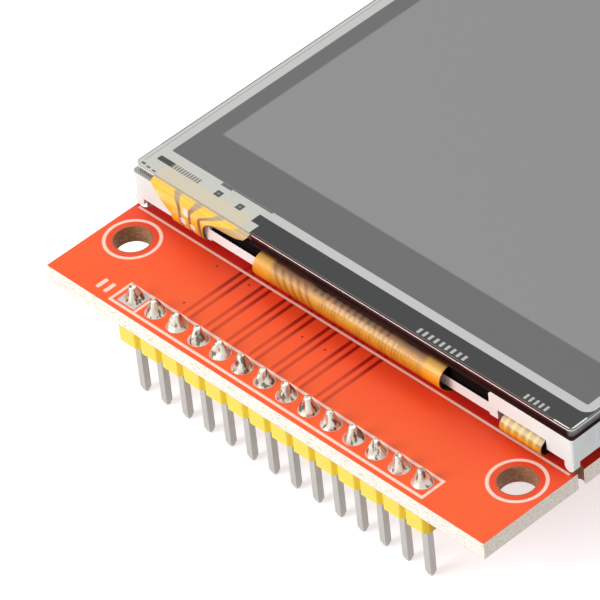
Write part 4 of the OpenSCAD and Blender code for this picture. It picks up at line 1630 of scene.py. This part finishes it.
        # painted highlight: a light line along the glass's top arris at the right end
        line = g.both(g.step(f.z, 5.78, 5.84), g.step(f.x, 24.5, 24.75))
        marks = g.both(f.bars(f.x, -24.15, 0.24, 8, 0.15, 0.04), f.box(-24.3, -22.35, -35.0, -34.4))
        marks = g.both(marks, g.within(f.z, 5.36, 5.4, 5.74, 5.8))
        colour = g.mix(g.math(Op.MUL, line, 0.7), colour, Hue.FILM_RING)
        return f.close(g.mix(g.math(Op.MUL, marks, 0.85), colour, Hue.FILM_MARK), fine)


# ---- The pieces that keep their own solid ----


@dataclass
class CarriedPieces:
    """Finishes for the pieces whose solid is shown as it is."""

    nodes: dict[str, bpy.types.Object]
    clear: tuple[str, ...] = ("light_guide", "lower_prism_sheet", "upper_prism_sheet", "touch_spacer")
    polarizers: tuple[str, ...] = ("front_polarizer", "rear_polarizer")
    chips: tuple[str, ...] = ("touch_controller", "regulator", "backlight_transistor")
    leads: tuple[str, ...] = (
        "touch_controller_leads", "regulator_leads", "transistor_leads", "chip_terminals"
    )
    tapes: tuple[str, ...] = ("foam_tape_left", "foam_tape_right")

    def dress(self, names: Sequence[str], material: bpy.types.Material) -> None:
        """Gives some nodes one material.

        Args:
            names: The nodes.
            material: The material.
        """
        for name in names:
            for slot in self.nodes[name].material_slots:
                slot.material = material
        log.info("%s: %s", material.name, ", ".join(names))

    def all(self) -> None:
        """Dresses the frame, the inner layers, the socket and the small parts."""
        matt = Gloss(rough_low=0.45, rough_high=0.6, specular=0.4, bump=0.12, bump_mm=0.02)
        dull = Gloss(rough_low=0.7, rough_high=0.9, specular=0.2, bump=0.4, bump_mm=0.05)
        shine = Gloss(rough_low=0.08, rough_high=0.2, specular=0.5, bump=0.05, bump_mm=0.01)
        metal = Gloss(metallic=1.0, rough_low=0.25, rough_high=0.4, bump=0.15, bump_mm=0.01)
        flat = Gloss(rough_low=0.75, rough_high=0.9, specular=0.08, bump=0.1, bump_mm=0.01)
        looks = (
            ("white_moulding", matt, Hue.FRAME, Hue.FRAME_DEEP, 0.15, 7.0, ["lcd_frame"]),
            ("foam_cells", dull, Hue.GREY_FOAM, Hue.CHARCOAL, 1.5, 6.0, self.tapes),
            ("black_film_tape", flat, Hue.BLACK, Hue.SOOT, 0.5, 12.0, ["rim_tape", "light_shield_tape"]),
            ("white_sheet", matt, Hue.WHITE, Hue.FRAME, 0.3, 6.0, ["reflector_sheet", "diffuser_sheet"]),
            ("clear_sheet", shine, Hue.CLEAR, Hue.WHITE, 0.3, 6.0, self.clear),
            ("cell_glass", shine, Hue.GLASS_GREEN, Hue.CLEAR, 0.2, 3.0, ["tft_glass", "color_filter_glass"]),
            ("grey_polarizer", shine, Hue.FILM_GREY, Hue.FILM_BAND, 0.1, 3.0, self.polarizers),
            ("bare_silicon", shine, Hue.SILICON, Hue.CHARCOAL, 1.0, 4.0, ["driver_chip"]),
            ("diode_package", matt, Hue.PHOSPHOR, Hue.WHITE, 1.0, 6.0, ["backlight_leds"]),
            ("socket_sheet", metal, Hue.STEEL, Hue.TIN, 0.4, 9.0, ["card_socket_shell"]),
            ("socket_moulding", matt, Hue.CHARCOAL, Hue.BLACK, 0.6, 8.0, ["card_socket_body"]),
            ("gold_flash", metal, Hue.GOLD, Hue.AMBER_DEEP, 0.8, 8.0, ["card_socket_contacts"]),
            ("chip_moulding", matt, Hue.CHARCOAL, Hue.BLACK, 1.2, 14.0, self.chips),
            ("plated_lead", metal, Hue.TIN, Hue.STEEL, 1.5, 12.0, self.leads),
            ("resistor_body", matt, Hue.BLACK, Hue.CHARCOAL, 1.5, 12.0, ["chip_resistors"]),
            ("capacitor_body", matt, Hue.TAN, Hue.FIBRE_DARK, 1.5, 12.0, ["chip_capacitors"]),
        )
        for name, gloss, light, deep, cloud, fine, nodes in looks:
            self.dress(nodes, plain_finish(name, gloss, light, deep, cloud, fine))
        self.dress(["touch_bond_tape"], self.bond_tape(flat))

    def bond_tape(self, gloss: Gloss) -> bpy.types.Material:
        """Dark brown tape, clear and greenish at the silver corner of the touch panel.

        Args:
            gloss: How it takes the light.

        Returns:
            The material.
        """
        f = Finish("bond_tape", gloss)
        patch, relief = f.grain(0.5, 12.0)
        brown = f.g.mix(patch, Hue.BOND_BROWN, Hue.PANEL_EDGE)
        clear = f.g.both(f.g.step(f.x, -21.6, -22.2), f.g.step(f.y, -30.0, -31.0))
        return f.close(f.g.mix(clear, brown, Hue.PANEL_EDGE_GREEN), relief)


# ---- Studio ----


@dataclass
class Studio:
    """Floor, lamps, world and camera. Sizes are in millimetres."""

    eye: tuple[float, float, float] = (279.66, -271.43, 324.76)
    right: tuple[float, float, float] = (0.6913, 0.7176, -0.0853)
    up: tuple[float, float, float] = (-0.4299, 0.5032, 0.7496)
    lens: float = 368.25
    shift: tuple[float, float] = (0.0036, -0.0009)
    tip_y: float = -42.9
    tip_z: float = -8.3
    socket_y: float = 26.25
    socket_z: float = -2.8
    floor_reach: float = 1500.0
    floor_points: int = 9

    def camera(self) -> None:
        """Places the camera: its axes are right, up, and back, which is right crossed with up."""
        right, up = Vector(self.right).normalized(), Vector(self.up)
        back = right.cross(up).normalized()
        up = back.cross(right)
        data = bpy.data.cameras.new("studio_camera")
        data.lens = self.lens
        data.sensor_width = 36.0
        data.shift_x, data.shift_y = self.shift
        data.clip_start, data.clip_end = 0.01, 20.0
        camera = bpy.data.objects.new("studio_camera", data)
        turn = Matrix((right, up, back)).transposed().to_4x4()
        camera.matrix_world = Matrix.Translation(Vector(self.eye) * MM) @ turn
        bpy.context.scene.collection.objects.link(camera)
        bpy.context.scene.camera = camera

    def floor(self) -> None:
        """A pale flat floor, tilted so that the pin tips and the card socket's far edge rest on it."""
        slope = (self.socket_z - self.tip_z) / (self.socket_y - self.tip_y)
        side = np.linspace(-self.floor_reach, self.floor_reach, self.floor_points)
        x, y = np.meshgrid(side, side)
        z = self.tip_z - 0.02 + slope * (y - self.tip_y)
        points = np.stack([x, y, z], -1).reshape(-1, 3)
        floor = mesh_from("studio_floor", points, grid_faces(self.floor_points, self.floor_points, False))
        floor.data.materials.append(self.floor_material())

    def floor_material(self) -> bpy.types.Material:
        """Pale and matt, white to the camera, and clear from below.

        Returns:
            The material.
        """
        material = bpy.data.materials.new("pale_floor")
        material.use_nodes = True
        material.node_tree.nodes.clear()
        g = Graph(material.node_tree)
        matt = g.add("ShaderNodeBsdfDiffuse")
        matt.inputs["Color"].default_value = (0.6, 0.6, 0.6, 1.0)
        glow = g.add("ShaderNodeEmission")
        glow.inputs["Color"].default_value = (1.0, 1.0, 1.0, 1.0)
        seen = g.background_rays()
        g.feed(glow.inputs["Strength"], g.math(Op.MUL, seen, 0.66))
        both = g.add("ShaderNodeAddShader")
        g.feed(both.inputs[0], matt.outputs[0])
        g.feed(both.inputs[1], glow.outputs[0])
        clear = g.add("ShaderNodeBsdfTransparent")
        mixed = g.add("ShaderNodeMixShader")
        back = g.add("ShaderNodeNewGeometry")
        g.feed(mixed.inputs[0], back.outputs["Backfacing"])
        g.feed(mixed.inputs[1], both.outputs[0])
        g.feed(mixed.inputs[2], clear.outputs[0])
        out = g.add("ShaderNodeOutputMaterial")
        g.feed(out.inputs["Surface"], mixed.outputs[0])
        return material

    def world(self) -> None:
        """Even soft light, white to the camera and in reflections."""
        world = bpy.data.worlds.new("studio_world")
        world.use_nodes = True
        world.node_tree.nodes.clear()
        g = Graph(world.node_tree)
        seen = g.background_rays()
        sky = g.add("ShaderNodeBackground")
        sky.inputs["Color"].default_value = (1.0, 1.0, 1.0, 1.0)
        g.feed(sky.inputs["Strength"], g.math(Op.ADD, 0.54, g.math(Op.MUL, seen, 0.46)))
        out = g.add("ShaderNodeOutputWorld")
        g.feed(out.inputs["Surface"], sky.outputs[0])
        bpy.context.scene.world = world

    def lamp(self, name: str, place: tuple[float, float, float], size: float, watts: float) -> None:
        """A square soft lamp that faces the object.

        Args:
            name: Name of the lamp.
            place: Where it stands.
            size: Side of its square.
            watts: Its power.
        """
        data = bpy.data.lights.new(name, "AREA")
        data.size = size * MM
        data.energy = watts
        lamp = bpy.data.objects.new(name, data)
        lamp.location = Vector(place) * MM
        lamp.rotation_euler = (-Vector(place)).to_track_quat("-Z", "Y").to_euler()
        bpy.context.scene.collection.objects.link(lamp)

    def build(self) -> None:
        """Sets up everything round the object."""
        bpy.context.scene.view_settings.view_transform = "Standard"
        self.camera()
        self.floor()
        self.world()
        self.lamp("front_lamp", (-180.0, -500.0, 290.0), 320.0, 2.15)
        self.lamp("top_lamp", (-120.0, 150.0, 560.0), 380.0, 0.8)


def main() -> None:
    """Loads the frame, dresses every piece and sets up the studio."""
    logging.basicConfig(level=logging.INFO, format="%(name)s: %(message)s")
    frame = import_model()
    nodes = frame["nodes"]
    carried = CarriedPieces(nodes)
    carried.all()
    board = Board()
    carried.dress(["pcb"], board.finish())
    header = PinHeader()
    carried.dress(["header_body"], header.strip_finish())
    carried.dress(sorted(n for n in nodes if n.startswith("header_pin_")), header.pin_finish())
    joints = SolderJoints()
    cones = joints.build()
    cones.data.materials.append(joints.finish())
    log.info("solder joints: %d faces", len(cones.data.polygons))
    for ribbon in Ribbons().build():
        log.info("%s: %d faces", ribbon.name, len(ribbon.data.polygons))
    panel = TouchPanel()
    carried.dress(["touch_film"], panel.film_finish())
    carried.dress(["touch_glass"], panel.glass_finish())
    Studio().build()
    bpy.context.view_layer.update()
    log.info("sizes written")


if __name__ == "__main__":
    main()
